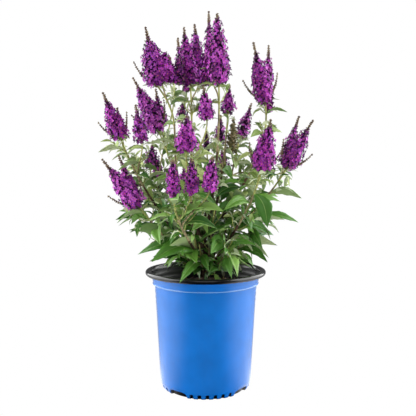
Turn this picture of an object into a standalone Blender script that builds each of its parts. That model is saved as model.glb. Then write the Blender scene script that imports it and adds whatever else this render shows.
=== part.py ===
"""Butterfly bush in its nursery pot, at real size, in metres, +Z up.

The origin is the middle of the pot's flat underside. The trunk forks into boughs, and each bough
carries one mass: a stem that branches to its flower heads, with leaves in opposite pairs. Leafy
shoots without flowers grow from the foot of the trunk.
"""

import math
from collections import namedtuple

import bmesh
import bpy
import numpy as np
from mathutils import Matrix, Vector
from mathutils.bvhtree import BVHTree

MM = 0.001
GAP = 0.3 * MM

# Pot: a thin tapering wall with a shoulder band and a rolled lip.
POT_HEIGHT = 230 * MM
LIP_RADIUS = 117.5 * MM
LIP_DEPTH = 9 * MM
BAND_DEPTH = 17 * MM
BAND_TOP_RADIUS = 105.5 * MM
BAND_FOOT_RADIUS = 102.5 * MM
WALL_TOP_RADIUS = 99.5 * MM
WALL_FOOT_RADIUS = 88.5 * MM
WALL_FOOT_HEIGHT = 12 * MM
BASE_RADIUS = 82 * MM
BASE_BEVEL = 4.2 * MM
FOOT_WALL = 7 * MM
WALL = 2 * MM
FLOOR = 3 * MM
SHOULDER = 1.5 * MM
BAND_FOOT = POT_HEIGHT - LIP_DEPTH - BAND_DEPTH
LIP_MIDDLE = POT_HEIGHT - LIP_DEPTH / 2
LIP_INNER_RADIUS = BAND_TOP_RADIUS - 0.5 * MM
POT_SIDES = 40
QUARTERS = 4
PATTERN_TURN = math.radians(7.4)
ARCH_SPAN = math.radians(27)
ARCH_HEIGHT = 8.5 * MM
ARCH_DEPTH = 4.5 * MM
NOTCHES = 6
NOTCH_PITCH = math.radians(10)
NOTCH_RADIUS = 3 * MM
NOTCH_HEIGHT = 9 * MM
NOTCH_DEPTH = 2.5 * MM

# An arch's outline: share of its half width, and share of its height.
ARCH_OUTLINE = ((-1, -0.6), (1, -0.6), (1, 0.6), (0.5, 1.0), (-0.5, 1.0), (-1, 0.6))

# Potting mix: fills the pot to below its lip.
SOIL_TOP = 198 * MM
SOIL_ROUNDING = 6 * MM
SOIL_SIDES = 28

# Trunk: a short woody stem with a flared foot, cut flat where it meets the mix.
TRUNK_HEIGHT = 96 * MM
TRUNK_FLARE = 17 * MM
TRUNK_RADIUS = 9.5 * MM
TRUNK_TIP_RADIUS = 6 * MM
TRUNK_LEAN = Vector((-5 * MM, 3 * MM, 0))
TRUNK_STATIONS = (0.0, 0.07, 0.18, 0.45, 0.75, 1.0)
FLARE_SHARE = 0.16
ROOT_LOBES = 3
LOBE_SHARE = 0.35
TRUNK_SIDES = 10

# Boughs and twigs. A bough is the first share of its shoot's way from the trunk to its first head.
BOUGH_SIDES = 6
BOUGH_SHARE = 0.30
BOUGH_OFFSET = 3 * MM
BOUGH_FOOT_RADIUS = 3.6 * MM
BOUGH_TIP_RADIUS = 2.5 * MM
STEM_TOP_RADIUS = 1.5 * MM
TWIG_RADIUS = 1.7 * MM
TWIG_TOP_RADIUS = 1.2 * MM
FORK_STEP = 0.12
LEAFY_RADIUS = 2 * MM
LEAFY_RISES = 40
LEAFY_ENDS = 55
TWIG_SIDES = 3
SEGMENT = 34 * MM
FINE_STEPS = 60

# Flower heads: bumpy cones that end in a spike of buds.
HEAD_SIDES = 6
HEAD_BUMP = 0.13
SUNK_IN_HEAD = 0.3
SIDE_SPIKE_SHARE = 0.34
SIDE_SPIKE_RADIUS = 2 * MM
SIDE_SPIKE_FOOT = 0.04
SIDE_SPIKE_TURN = math.radians(43)
WIDE_HEAD = 36 * MM

# Leaves: opposite pairs, each pair turned a quarter from the one below.
LEAF_SPACING_LOW = 24 * MM
LEAF_SPACING_HIGH = 44 * MM
LEAF_LOW = 86 * MM
LEAF_HIGH = 36 * MM
LEAF_LOW_HEIGHT = 250 * MM
LEAF_HIGH_HEIGHT = 560 * MM
LEAF_WIDTH_SHARE = 0.29
LEAF_WIDEST = 0.42
LEAF_RISE_SHARE = 0.14
LEAF_FORWARD = 0.25
LEAF_ROLL = 0.8
LEAF_DROOP = (-0.45, 0.4)
LEAF_SWING = 0.3
LEAF_SIZES = (0.82, 1.12)
SPACINGS = (0.85, 1.15)
LEAF_THICKNESS = 1.5 * MM
LEAF_THICKNESS_SHARE = 0.02
LEAF_CLEAR = 0.9 * MM
LEAF_START = 12 * MM
CROWN_RADIUS = 212 * MM
SEED = 41

# What is tried in turn for a leaf that has no room: a share of its length, and a turn about the stem.
LEAF_TRIES = ((1.0, 0.0), (0.85, 0.5), (0.7, -0.5))

Head = namedtuple("Head", "bearing reach height length width lean lean_bearing")
Shoot = namedtuple("Shoot", "name leaves_trunk bearing rises fork heads")
LeafyShoot = namedtuple("LeafyShoot", "name leaves_trunk bearing reach height")
ShownLeaf = namedtuple("ShownLeaf", "shoot height bearing reach tip_height width")

# Each shoot leaves the trunk at a share of its height and rises at an angle, and its stem forks at
# a share of its length. A head's foot is given by its bearing from +X in degrees, its reach from the
# axis and its height, in millimetres, then come its length, its width, its lean and where it leans.
SHOOTS = (
    Shoot("left_low", 0.20, -158, 42, 0.72, (
        Head(-154, 139, 359, 104, 42, 37, -166),
        Head(-167, 137, 372, 84, 24, 21, 180))),
    Shoot("left_outer", 0.36, -178, 50, 0.55, (
        Head(-173, 164, 486, 89, 37, 20, -172),
        Head(-149, 135, 476, 66, 27, 14, -123))),
    Shoot("left_high", 0.58, 166, 60, 0.80, (
        Head(162, 99, 503, 111, 44, 25, -176),
        Head(149, 103, 515, 74, 26, 14, 140))),
    Shoot("upper_left", 0.70, -138, 62, 0.86, (
        Head(-157, 100, 583, 102, 44, 12, -140),
        Head(-152, 88, 590, 52, 32, 20, -30))),
    Shoot("top_left", 0.88, 150, 64, 0.80, (
        Head(-145, 36, 588, 102, 35, 7, -155),
        Head(115, 36, 598, 112, 38, 4, 140),
        Head(127, 78, 602, 92, 25, 14, 118))),
    Shoot("top", 0.90, -60, 66, 0.80, (
        Head(-68, 65, 584, 118, 42, 7, -105),
        Head(48, 14, 616, 111, 25, 3, 130))),
    Shoot("upper_right", 0.80, -8, 62, 0.84, (
        Head(-15, 115, 553, 108, 38, 13, -155),
        Head(2, 117, 566, 98, 26, 7, 60))),
    Shoot("right_outer", 0.52, -4, 48, 0.84, (
        Head(-5, 157, 430, 100, 38, 28, -6),
        Head(10, 158, 440, 96, 25, 20, 20))),
    Shoot("right_front", 0.26, -40, 52, 0.86, (
        Head(-42, 135, 427, 86, 43, 14, -45),)),
    Shoot("front_low", 0.24, -100, 48, 0.60, (
        Head(-110, 158, 383, 62, 24, 22, -90),
        Head(-99, 141, 386, 60, 25, 23, -92),
        Head(-87, 150, 393, 56, 29, 25, -80))),
    Shoot("front_high", 0.60, -110, 60, 0.62, (
        Head(-107, 115, 459, 60, 39, 15, -85),
        Head(-87, 50, 519, 60, 30, 12, -120))),
    Shoot("inner_right", 0.66, 56, 62, 0.62, (
        Head(53, 75, 540, 58, 29, 14, 75),
        Head(62, 80, 421, 48, 28, 26, 100))),
    Shoot("back_left", 0.44, 134, 52, 0.50, (
        Head(137, 160, 430, 60, 34, 20, 80),
        Head(156, 188, 488, 66, 27, 14, 140),
        Head(127, 112, 605, 56, 29, 24, 118))),
    Shoot("back", 0.30, 96, 52, 0.50, (
        Head(89, 150, 462, 56, 30, 22, 95),
        Head(112, 140, 528, 54, 30, 22, 75),
        Head(76, 124, 482, 62, 30, 19, 84),
        Head(106, 166, 380, 58, 32, 22, 103))),
    Shoot("back_right", 0.38, 44, 52, 0.52, (
        Head(48, 108, 491, 78, 30, 23, 40),
        Head(47, 170, 436, 72, 32, 12, 65),
        Head(25, 190, 436, 66, 32, 20, 38))),
)

LEAFY_SHOOTS = (
    LeafyShoot("foot_front", 0.10, -100, 66, 286),
    LeafyShoot("foot_front_left", 0.10, -136, 88, 306),
    LeafyShoot("foot_left", 0.12, -179, 126, 350),
    LeafyShoot("foot_back_left", 0.12, 128, 112, 338),
    LeafyShoot("foot_back", 0.12, 84, 104, 326),
    LeafyShoot("foot_back_right", 0.12, 38, 112, 330),
    LeafyShoot("foot_right", 0.12, -8, 108, 326),
    LeafyShoot("foot_front_right", 0.10, -56, 90, 298),
    LeafyShoot("inner_front_left", 0.32, -126, 62, 372),
    LeafyShoot("inner_front", 0.34, -72, 58, 352),
    LeafyShoot("inner_front_right", 0.40, -20, 74, 378),
    LeafyShoot("inner_back_right", 0.24, 62, 70, 366),
    LeafyShoot("inner_back_left", 0.26, 150, 78, 380),
)

# The large leaves at the foot of the plant: the shoot that each grows from, the height of its root,
# and the bearing, reach and height of its tip, then its width.
SHOWN_LEAVES = (
    ShownLeaf("foot_front_left", 268, -131, 146, 261, 26),
    ShownLeaf("foot_front_left", 290, -160, 136, 265, 16),
    ShownLeaf("foot_front", 248, -110, 133, 226, 17),
    ShownLeaf("foot_front", 262, -86, 100, 241, 16),
    ShownLeaf("foot_front_right", 280, -86, 100, 277, 25),
    ShownLeaf("foot_front_right", 268, -67, 120, 231, 18),
    ShownLeaf("foot_right", 268, -27, 130, 252, 15),
    ShownLeaf("foot_right", 300, -41, 137, 282, 17),
    ShownLeaf("foot_right", 318, -6, 180, 323, 17),
    ShownLeaf("foot_left", 320, -155, 181, 333, 18),
    ShownLeaf("foot_left", 296, -153, 156, 309, 14),
)

# A head's outline: share of its length above the foot, and share of its half width.
HEAD_OUTLINE = (
    (-0.05, 0.30),
    (0.03, 0.84),
    (0.17, 1.00),
    (0.34, 0.88),
    (0.51, 0.70),
    (0.66, 0.49),
    (0.78, 0.28),
    (0.86, 0.13),
    (1.00, 0.06),
)

COLOURS = {
    "pot": (0.004, 0.155, 0.56, 0.25),
    "potting_mix": (0.022, 0.014, 0.009, 0.95),
    "bark": (0.075, 0.048, 0.030, 0.85),
    "foliage": (0.060, 0.150, 0.025, 0.55),
}


def clear_scene():
    for obj in list(bpy.data.objects):
        bpy.data.objects.remove(obj)


def material(name):
    made = bpy.data.materials.get(name)
    if made:
        return made
    made = bpy.data.materials.new(name)
    made.use_nodes = True
    shader = made.node_tree.nodes["Principled BSDF"]
    *colour, roughness = COLOURS[name]
    shader.inputs["Base Color"].default_value = (*colour, 1)
    shader.inputs["Roughness"].default_value = roughness
    return made


def new_object(name, verts, faces, finish):
    mesh = bpy.data.meshes.new(name)
    mesh.from_pydata([tuple(v) for v in verts], [], faces)
    mesh.update()
    mesh.materials.append(material(finish))
    obj = bpy.data.objects.new(name, mesh)
    bpy.context.scene.collection.objects.link(obj)
    return obj


def toward(bearing, elevation):
    """The unit vector at a bearing from +X and an elevation, both in degrees."""
    b, e = math.radians(bearing), math.radians(elevation)
    return Vector((math.cos(b) * math.cos(e), math.sin(b) * math.cos(e), math.sin(e)))


# Closed shapes, each a list of points and a list of faces that point outwards.


def rings_shape(rings):
    """Rings of points, first to last, joined by quads, with an end face on each."""
    sides = len(rings[0])
    verts = [p for ring in rings for p in ring]
    faces = [tuple(reversed(range(sides)))]
    for r in range(len(rings) - 1):
        for s in range(sides):
            a = r * sides + s
            b = r * sides + (s + 1) % sides
            faces.append((a, b, b + sides, a + sides))
    last = (len(rings) - 1) * sides
    faces.append(tuple(range(last, last + sides)))
    return verts, faces


def ring_round(centre, direction, radius, sides, turn=0.0, bump=0.0):
    """Points round a centre, square to a direction, alternately out and in by the bump."""
    d = direction.normalized()
    across = d.cross(Vector((0.31, 0.95, 0.05))).normalized()
    other = d.cross(across)
    points = []
    for s in range(sides):
        angle = turn + 2 * math.pi * s / sides
        r = radius * (1 + bump * (-1) ** s)
        points.append(centre + r * (math.cos(angle) * across + math.sin(angle) * other))
    return points


def tube_shape(path, radii, sides):
    rings = []
    for i, point in enumerate(path):
        ahead = path[min(i + 1, len(path) - 1)]
        behind = path[max(i - 1, 0)]
        rings.append(ring_round(point, ahead - behind, radii[i], sides))
    return rings_shape(rings)


def leaf_shape(root, tip, width, thickness, roll):
    """Eight faces: a root point, a tip point and a four-cornered middle that the leaf arches over."""
    heading = (tip - root).normalized()
    length = (tip - root).length
    level = heading.cross(Vector((0, 0, 1))).normalized()
    middle = root.lerp(tip, LEAF_WIDEST) + LEAF_RISE_SHARE * length * level.cross(heading)
    side = Matrix.Rotation(roll, 3, heading) @ level
    normal = side.cross(heading)
    verts = [
        root,
        middle - side * width / 2,
        middle - normal * thickness / 2,
        middle + side * width / 2,
        middle + normal * thickness / 2,
        tip,
    ]
    faces = []
    for k in range(4):
        a, b = 1 + k, 1 + (k + 1) % 4
        faces.append((0, a, b))
        faces.append((5, b, a))
    return verts, faces


def head_shape(foot, direction, length, width):
    rings = []
    for i, (along, share) in enumerate(HEAD_OUTLINE):
        centre = foot + direction * (along * length)
        rings.append(ring_round(
            centre, direction, share * width / 2, HEAD_SIDES,
            turn=i * math.pi / HEAD_SIDES, bump=HEAD_BUMP * (share > 0.3)))
    return rings_shape(rings)


# Paths.


def bend(start, start_way, end, end_way, count):
    """Points on the smooth curve that leaves start one way and comes to end another."""
    span = (end - start).length
    points = []
    for i in range(count):
        t = i / (count - 1)
        points.append(
            (2 * t ** 3 - 3 * t ** 2 + 1) * start
            + (t ** 3 - 2 * t ** 2 + t) * span * start_way
            + (3 * t ** 2 - 2 * t ** 3) * end
            + (t ** 3 - t ** 2) * span * end_way)
    return points


def lengths_along(path):
    sums = [0.0]
    for a, b in zip(path, path[1:]):
        sums.append(sums[-1] + (b - a).length)
    return sums


def at_length(path, sums, wanted):
    """The point and the direction at a length along a path."""
    wanted = min(max(wanted, 0.0), sums[-1])
    i = max(1, next(k for k, s in enumerate(sums) if s >= wanted - 1e-12))
    a, b = path[i - 1], path[i]
    share = (wanted - sums[i - 1]) / (sums[i] - sums[i - 1])
    return a.lerp(b, share), (b - a).normalized()


def piece_of(path, start, end):
    """The stretch of a path between two lengths, in steps of about SEGMENT."""
    sums = lengths_along(path)
    steps = max(2, round((end - start) / SEGMENT) + 1)
    return [at_length(path, sums, start + (end - start) * i / (steps - 1))[0] for i in range(steps)]


def tapered(first, last, count):
    return [first + (last - first) * i / (count - 1) for i in range(count)]


def trunk_at(share):
    """The middle of the trunk at a share of its height."""
    height = SOIL_TOP + GAP + share * TRUNK_HEIGHT
    return Vector((0, 0, height)) + TRUNK_LEAN * share ** 1.5


def point_at(bearing, reach, height):
    """A point from its bearing in degrees and its reach and height in millimetres."""
    return (reach * toward(bearing, 0) + Vector((0, 0, height))) * MM


def head_foot(head):
    return point_at(head.bearing, head.reach, head.height)


def head_way(head):
    return toward(head.lean_bearing, 90 - head.lean)


def shoot_path(shoot):
    """The whole way from the trunk's middle to the foot of the shoot's first head."""
    first = shoot.heads[0]
    start = trunk_at(shoot.leaves_trunk) + BOUGH_OFFSET * toward(shoot.bearing, 0)
    start_way = toward(shoot.bearing, shoot.rises)
    return bend(start, start_way, head_foot(first), head_way(first), FINE_STEPS)


# Pot.


def turned(name, profile, sides, finish):
    """A solid of revolution from (radius, height) points that run down its outer side."""
    mesh = bpy.data.meshes.new(name)
    shape = bmesh.new()
    points = [shape.verts.new((r, 0, z)) for r, z in profile]
    for a, b in zip(points, points[1:]):
        shape.edges.new((a, b))
    shape.to_mesh(mesh)
    shape.free()
    mesh.materials.append(material(finish))
    obj = bpy.data.objects.new(name, mesh)
    bpy.context.scene.collection.objects.link(obj)
    screw = obj.modifiers.new("Turn", "SCREW")
    screw.steps = sides
    screw.render_steps = sides
    screw.use_merge_vertices = True
    screw.merge_threshold = 0.01 * MM
    screw.use_smooth_shade = True
    return obj


def wall_radius(height):
    """The outside radius of the wall at a height, between its foot and the band."""
    share = (height - WALL_FOOT_HEIGHT) / (BAND_FOOT - WALL_FOOT_HEIGHT)
    return WALL_FOOT_RADIUS + share * (WALL_TOP_RADIUS - WALL_FOOT_RADIUS)


def pot_profile():
    """The pot's section: down its outer side from the axis to the lip, and back down the inner one."""
    outer = [
        (0, 0),
        (BASE_RADIUS, 0),
        (BASE_RADIUS + BASE_BEVEL, BASE_BEVEL),
        (WALL_FOOT_RADIUS, WALL_FOOT_HEIGHT),
        (WALL_TOP_RADIUS, BAND_FOOT - SHOULDER),
        (BAND_FOOT_RADIUS, BAND_FOOT),
        (BAND_TOP_RADIUS, BAND_FOOT + BAND_DEPTH),
        (LIP_RADIUS - 1.5 * MM, POT_HEIGHT - LIP_DEPTH),
        (LIP_RADIUS, LIP_MIDDLE),
        (LIP_RADIUS - 2 * MM, POT_HEIGHT - 1 * MM),
        (LIP_RADIUS - 5.5 * MM, POT_HEIGHT),
    ]
    inner = [
        (LIP_INNER_RADIUS + 1.5 * MM, POT_HEIGHT - 1.5 * MM),
        (LIP_INNER_RADIUS, POT_HEIGHT - LIP_DEPTH),
        (BAND_FOOT_RADIUS - WALL, BAND_FOOT + SHOULDER),
        (WALL_TOP_RADIUS - WALL, BAND_FOOT - SHOULDER),
        (WALL_FOOT_RADIUS - WALL, WALL_FOOT_HEIGHT + FOOT_WALL),
        (BASE_RADIUS - FOOT_WALL, FLOOR),
        (0, FLOOR),
    ]
    return list(reversed(outer + inner))


def edge_cutter(name, angle, half_width, height, depth):
    """A block with the arch's outline that is let into the pot's sloping lower edge."""
    out = Vector((math.sin(angle), -math.cos(angle), 0))
    across = Vector((math.cos(angle), math.sin(angle), 0))
    slope = (WALL_FOOT_RADIUS - BASE_RADIUS) / WALL_FOOT_HEIGHT
    rings = []
    for distance in (BASE_RADIUS - depth, BASE_RADIUS + 3 * depth):
        ring = []
        for aside, up in ARCH_OUTLINE:
            outward = out * (distance + slope * height * up)
            ring.append(outward + across * (half_width * aside) + Vector((0, 0, height * up)))
        rings.append(ring)
    cutter = new_object(name, *rings_shape(rings), "pot")
    fix_facing(cutter)
    cutter.hide_render = True
    cutter.display_type = "WIRE"
    return cutter


def fix_facing(obj):
    shape = bmesh.new()
    shape.from_mesh(obj.data)
    bmesh.ops.recalc_face_normals(shape, faces=shape.faces)
    shape.to_mesh(obj.data)
    shape.free()


def make_pot():
    """The shell, with drain arches at the corners of its base and a row of notches between them."""
    pot = turned("pot", pot_profile(), POT_SIDES, "pot")
    cutters = bpy.data.collections.new("pot_cutters")
    bpy.context.scene.collection.children.link(cutters)
    half_arch = WALL_FOOT_RADIUS * math.sin(ARCH_SPAN / 2)
    for quarter in range(QUARTERS):
        middle = PATTERN_TURN + quarter * math.pi / 2
        made = [edge_cutter(
            f"arch_cutter_{quarter}", middle + math.pi / 4, half_arch, ARCH_HEIGHT, ARCH_DEPTH)]
        for n in range(NOTCHES):
            angle = middle + (n - (NOTCHES - 1) / 2) * NOTCH_PITCH
            made.append(edge_cutter(
                f"notch_cutter_{quarter}_{n}", angle, NOTCH_RADIUS, NOTCH_HEIGHT, NOTCH_DEPTH))
        for cutter in made:
            bpy.context.scene.collection.objects.unlink(cutter)
            cutters.objects.link(cutter)
    cut = pot.modifiers.new("Drains", "BOOLEAN")
    cut.operation = "DIFFERENCE"
    cut.operand_type = "COLLECTION"
    cut.collection = cutters
    return pot


def make_potting_mix():
    """The mix, two gaps clear of the pot's facets, with its upper edge rounded off."""
    floor = FLOOR + GAP
    edge = wall_radius(SOIL_TOP) - WALL - 2 * GAP
    profile = [
        (0, floor),
        (BASE_RADIUS - FOOT_WALL - 3 * GAP, floor),
        (WALL_FOOT_RADIUS - WALL - 3 * GAP, WALL_FOOT_HEIGHT + FOOT_WALL),
        (edge, SOIL_TOP - SOIL_ROUNDING / 3),
        (edge - SOIL_ROUNDING, SOIL_TOP),
        (0, SOIL_TOP),
    ]
    return turned("potting_mix", list(reversed(profile)), SOIL_SIDES, "potting_mix")


# Trunk and boughs.


def trunk_rings(extra):
    """Rings up the trunk, each out by the extra. The foot has a flare with root lobes."""
    rings = []
    for share in TRUNK_STATIONS:
        flare = (TRUNK_FLARE - TRUNK_RADIUS) * max(0.0, 1 - share / FLARE_SHARE) ** 1.6
        radius = TRUNK_RADIUS + (TRUNK_TIP_RADIUS - TRUNK_RADIUS) * share + flare + extra
        centre = trunk_at(share)
        if share == 0.0:
            centre.z -= extra
        if share == 1.0:
            centre.z += extra
        ring = []
        for s in range(TRUNK_SIDES):
            angle = 2 * math.pi * s / TRUNK_SIDES
            lobed = radius + flare * LOBE_SHARE * math.cos(ROOT_LOBES * angle + 0.6)
            ring.append(centre + lobed * Vector((math.cos(angle), math.sin(angle), 0)))
        rings.append(ring)
    return rings


def make_trunk():
    """Makes the trunk, and gives back a hidden copy a gap larger that boughs are cut with."""
    new_object("trunk", *rings_shape(trunk_rings(0)), "bark")
    clearance = new_object("trunk_clearance", *rings_shape(trunk_rings(1.2 * GAP)), "bark")
    clearance.hide_render = True
    clearance.display_type = "WIRE"
    return clearance


def make_bough(shoot, clearance):
    """One tapering limb, seated against the trunk."""
    path = shoot_path(shoot)
    whole = lengths_along(path)[-1]
    line = piece_of(path, 0, BOUGH_SHARE * whole)
    radii = tapered(BOUGH_FOOT_RADIUS, BOUGH_TIP_RADIUS, len(line))
    bough = new_object("bough_" + shoot.name, *tube_shape(line, radii, BOUGH_SIDES), "bark")
    seat = bough.modifiers.new("Seat", "BOOLEAN")
    seat.operation = "DIFFERENCE"
    seat.object = clearance
    return bough


# Masses. Each is gathered as a list of closed shapes, then fused into one.


def stem_and_heads(shoot):
    """The stem above the bough, a branch to each further head, the heads and their side spikes."""
    path = shoot_path(shoot)
    sums = lengths_along(path)
    start = BOUGH_SHARE * sums[-1] + GAP
    shapes = []
    limbs = []
    line = piece_of(path, start, sums[-1]) + [into_head(shoot.heads[0])]
    radii = tapered(BOUGH_TIP_RADIUS, STEM_TOP_RADIUS, len(line))
    shapes.append(tube_shape(line, radii, TWIG_SIDES))
    limbs.append((path, start, sums[-1]))
    for i, head in enumerate(shoot.heads):
        if i:
            fork = start + (shoot.fork - FORK_STEP * (i - 1)) * (sums[-1] - start)
            where, way = at_length(path, sums, fork)
            branch = bend(where, way, head_foot(head), head_way(head), FINE_STEPS)
            branch_end = lengths_along(branch)[-1]
            twig = piece_of(branch, 0, branch_end) + [into_head(head)]
            radii = tapered(TWIG_RADIUS, TWIG_TOP_RADIUS, len(twig))
            shapes.append(tube_shape(twig, radii, TWIG_SIDES))
            limbs.append((branch, 0.0, branch_end))
        shapes.append(head_shape(head_foot(head), head_way(head), head.length * MM, head.width * MM))
        shapes.extend(side_spikes(head))
    return shapes, limbs


def into_head(head):
    """Where a stem ends, sunk in the head that it carries."""
    return head_foot(head) + head_way(head) * (SUNK_IN_HEAD * head.length * MM)


def side_spikes(head):
    """Two slim spikes of buds that lean out from the foot of a wide head and curve up."""
    if head.width * MM < WIDE_HEAD:
        return []
    way = head_way(head)
    foot = head_foot(head) + way * (SIDE_SPIKE_FOOT * head.length * MM)
    across = way.cross(Vector((0, 1, 0.1))).normalized()
    length = (0.5 * head.width + SIDE_SPIKE_SHARE * head.length) * MM
    radii = [SIDE_SPIKE_RADIUS, SIDE_SPIKE_RADIUS, 0.4 * SIDE_SPIKE_RADIUS]
    spikes = []
    for side in (-1, 1):
        out = way * math.cos(SIDE_SPIKE_TURN) + across * side * math.sin(SIDE_SPIKE_TURN)
        middle = foot + 0.6 * length * out - way * SIDE_SPIKE_RADIUS
        tip = foot + length * out + way * SIDE_SPIKE_RADIUS
        spikes.append(tube_shape([foot, middle, tip], radii, TWIG_SIDES))
    return spikes


def leafy_limb(shoot):
    """A shoot without flowers: one stem from the trunk, and its path and ends."""
    start = trunk_at(shoot.leaves_trunk)
    end = point_at(shoot.bearing, shoot.reach, shoot.height)
    start_way = toward(shoot.bearing, LEAFY_RISES)
    path = bend(start, start_way, end, toward(shoot.bearing, LEAFY_ENDS), FINE_STEPS)
    whole = lengths_along(path)[-1]
    verts, faces = rings_shape(trunk_rings(0))
    trunk = BVHTree.FromPolygons(verts, faces)
    inside, outside = 0.0, 2 * TRUNK_FLARE
    while outside - inside > 0.01 * MM:
        foot = (inside + outside) / 2
        if clearance_of(leafy_stem(path, foot, whole)[0][:TWIG_SIDES], trunk) > GAP:
            outside = foot
        else:
            inside = foot
    return [leafy_stem(path, outside, whole)], [(path, outside, whole)]


def leafy_stem(path, start, end):
    line = piece_of(path, start, end)
    return tube_shape(line, tapered(LEAFY_RADIUS, TWIG_TOP_RADIUS, len(line)), TWIG_SIDES)


def clearance_of(ring, tree):
    """How far a ring's corners, the middles of its sides and its centre lie outside a surface."""
    points = ring + [p.lerp(q, 0.5) for p, q in zip(ring, ring[1:] + ring[:1])]
    points.append(sum(ring, Vector()) / len(ring))
    found = [(p, *tree.find_nearest(p)[:2]) for p in points]
    return min((p - on).dot(normal) for p, on, normal in found)


def by_height(height, low, high):
    """A size that goes from its low value to its high one up the plant."""
    share = (height - LEAF_LOW_HEIGHT) / (LEAF_HIGH_HEIGHT - LEAF_LOW_HEIGHT)
    return low + (high - low) * min(max(share, 0.0), 1.0) ** 0.8


class Space:
    """What is placed so far, so that a new shape can be kept clear of every other node."""

    def __init__(self):
        self.placed = []

    def add(self, owner, shape):
        verts, faces = shape
        points = np.array([tuple(v) for v in verts])
        tree = BVHTree.FromPolygons([tuple(v) for v in verts], faces)
        self.placed.append((owner, points.min(0), points.max(0), tree))

    def is_clear(self, owner, shape):
        verts, faces = shape
        points = np.array([tuple(v) for v in verts])
        low, high = points.min(0), points.max(0)
        tree = None
        for other, other_low, other_high, other_tree in self.placed:
            if other == owner or (low > other_high).any() or (high < other_low).any():
                continue
            if tree is None:
                tree = BVHTree.FromPolygons([tuple(v) for v in verts], faces)
            if tree.overlap(other_tree):
                return False
        return True


def in_crown(shape):
    """Whether a shape keeps inside the crown and out of the pot and the mix."""
    for point in shape[0]:
        if math.hypot(point.x, point.y) > CROWN_RADIUS:
            return False
        if point.z < SOIL_TOP + 4 * MM:
            return False
    return True


def leaf_at(point, way, turn, length, droop, roll, grow):
    """A leaf on a stem. Grow widens it for the test that it is clear of the other nodes."""
    across = way.cross(Vector((0.2, 0.1, 1.0))).normalized()
    out = Matrix.Rotation(turn, 3, way) @ across
    flat = Vector((out.x, out.y, 0)) + LEAF_FORWARD * Vector((way.x, way.y, 0))
    heading = flat.normalized() * math.cos(droop) + Vector((0, 0, math.sin(droop)))
    tip = point + (length + grow) * heading
    width = LEAF_WIDTH_SHARE * length + 2 * grow
    thickness = max(LEAF_THICKNESS, LEAF_THICKNESS_SHARE * length) + 2 * grow
    return leaf_shape(point, tip, width, thickness, roll)


def shown_leaf(leaf, path):
    """A leaf from the point of its shoot's stem at the root's height to its own tip."""
    root = next(p for p in path if p.z >= leaf.height * MM)
    tip = point_at(leaf.bearing, leaf.reach, leaf.tip_height)
    thickness = LEAF_THICKNESS_SHARE * (tip - root).length
    return leaf_shape(root, tip, leaf.width * MM, thickness, LEAF_ROLL / 2)


def grow_leaves(owner, limbs, space, rng):
    """Opposite pairs up each limb. A leaf that isn't clear is tried again shorter, then skipped."""
    shapes = []
    for path, start, end in limbs:
        sums = lengths_along(path)
        quarter = rng.uniform(0, math.pi)
        place = start + LEAF_START
        while place < end - LEAF_START:
            point, way = at_length(path, sums, place)
            for half in range(2):
                turn = quarter + half * math.pi + rng.uniform(-LEAF_SWING, LEAF_SWING)
                length = by_height(point.z, LEAF_LOW, LEAF_HIGH) * rng.uniform(*LEAF_SIZES)
                droop = rng.uniform(*LEAF_DROOP)
                roll = rng.uniform(-LEAF_ROLL, LEAF_ROLL)
                for share, swing in LEAF_TRIES:
                    placed = (point, way, turn + swing, share * length, droop, roll)
                    tested = leaf_at(*placed, LEAF_CLEAR)
                    if in_crown(tested) and space.is_clear(owner, tested):
                        shape = leaf_at(*placed, 0)
                        shapes.append(shape)
                        space.add(owner, shape)
                        break
            quarter += math.pi / 2
            spacing = by_height(point.z, LEAF_SPACING_LOW, LEAF_SPACING_HIGH)
            place += spacing * rng.uniform(*SPACINGS)
    return shapes


def fuse(name, shapes):
    """One Boolean union of all the shapes of a mass, applied, with its parts removed."""
    mass = new_object("mass_" + name, *shapes[0], "foliage")
    if len(shapes) == 1:
        return
    parts = bpy.data.collections.new("parts_of_" + name)
    bpy.context.scene.collection.children.link(parts)
    for i, shape in enumerate(shapes[1:]):
        part = new_object(f"{name}_part_{i}", *shape, "foliage")
        bpy.context.scene.collection.objects.unlink(part)
        parts.objects.link(part)
    join = mass.modifiers.new("Fuse", "BOOLEAN")
    join.operation = "UNION"
    join.operand_type = "COLLECTION"
    join.collection = parts
    join.solver = "MANIFOLD"
    bpy.context.view_layer.update()
    graph = bpy.context.evaluated_depsgraph_get()
    fused = bpy.data.meshes.new_from_object(mass.evaluated_get(graph))
    mass.modifiers.clear()
    mass.data = fused
    for part in list(parts.objects):
        bpy.data.objects.remove(part)
    bpy.data.collections.remove(parts)
    keep_largest(mass)


def keep_largest(obj):
    """Drops loose scraps and sealed hollows, so that one closed surface is left."""
    shape = bmesh.new()
    shape.from_mesh(obj.data)
    bmesh.ops.triangulate(shape, faces=shape.faces)
    left = set(shape.verts)
    groups = []
    while left:
        group = [left.pop()]
        for vert in group:
            for edge in vert.link_edges:
                other = edge.other_vert(vert)
                if other in left:
                    left.remove(other)
                    group.append(other)
        groups.append(group)
    groups.sort(key=len)
    for group in groups[:-1]:
        bmesh.ops.delete(shape, geom=group, context="VERTS")
    shape.to_mesh(obj.data)
    shape.free()


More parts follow.
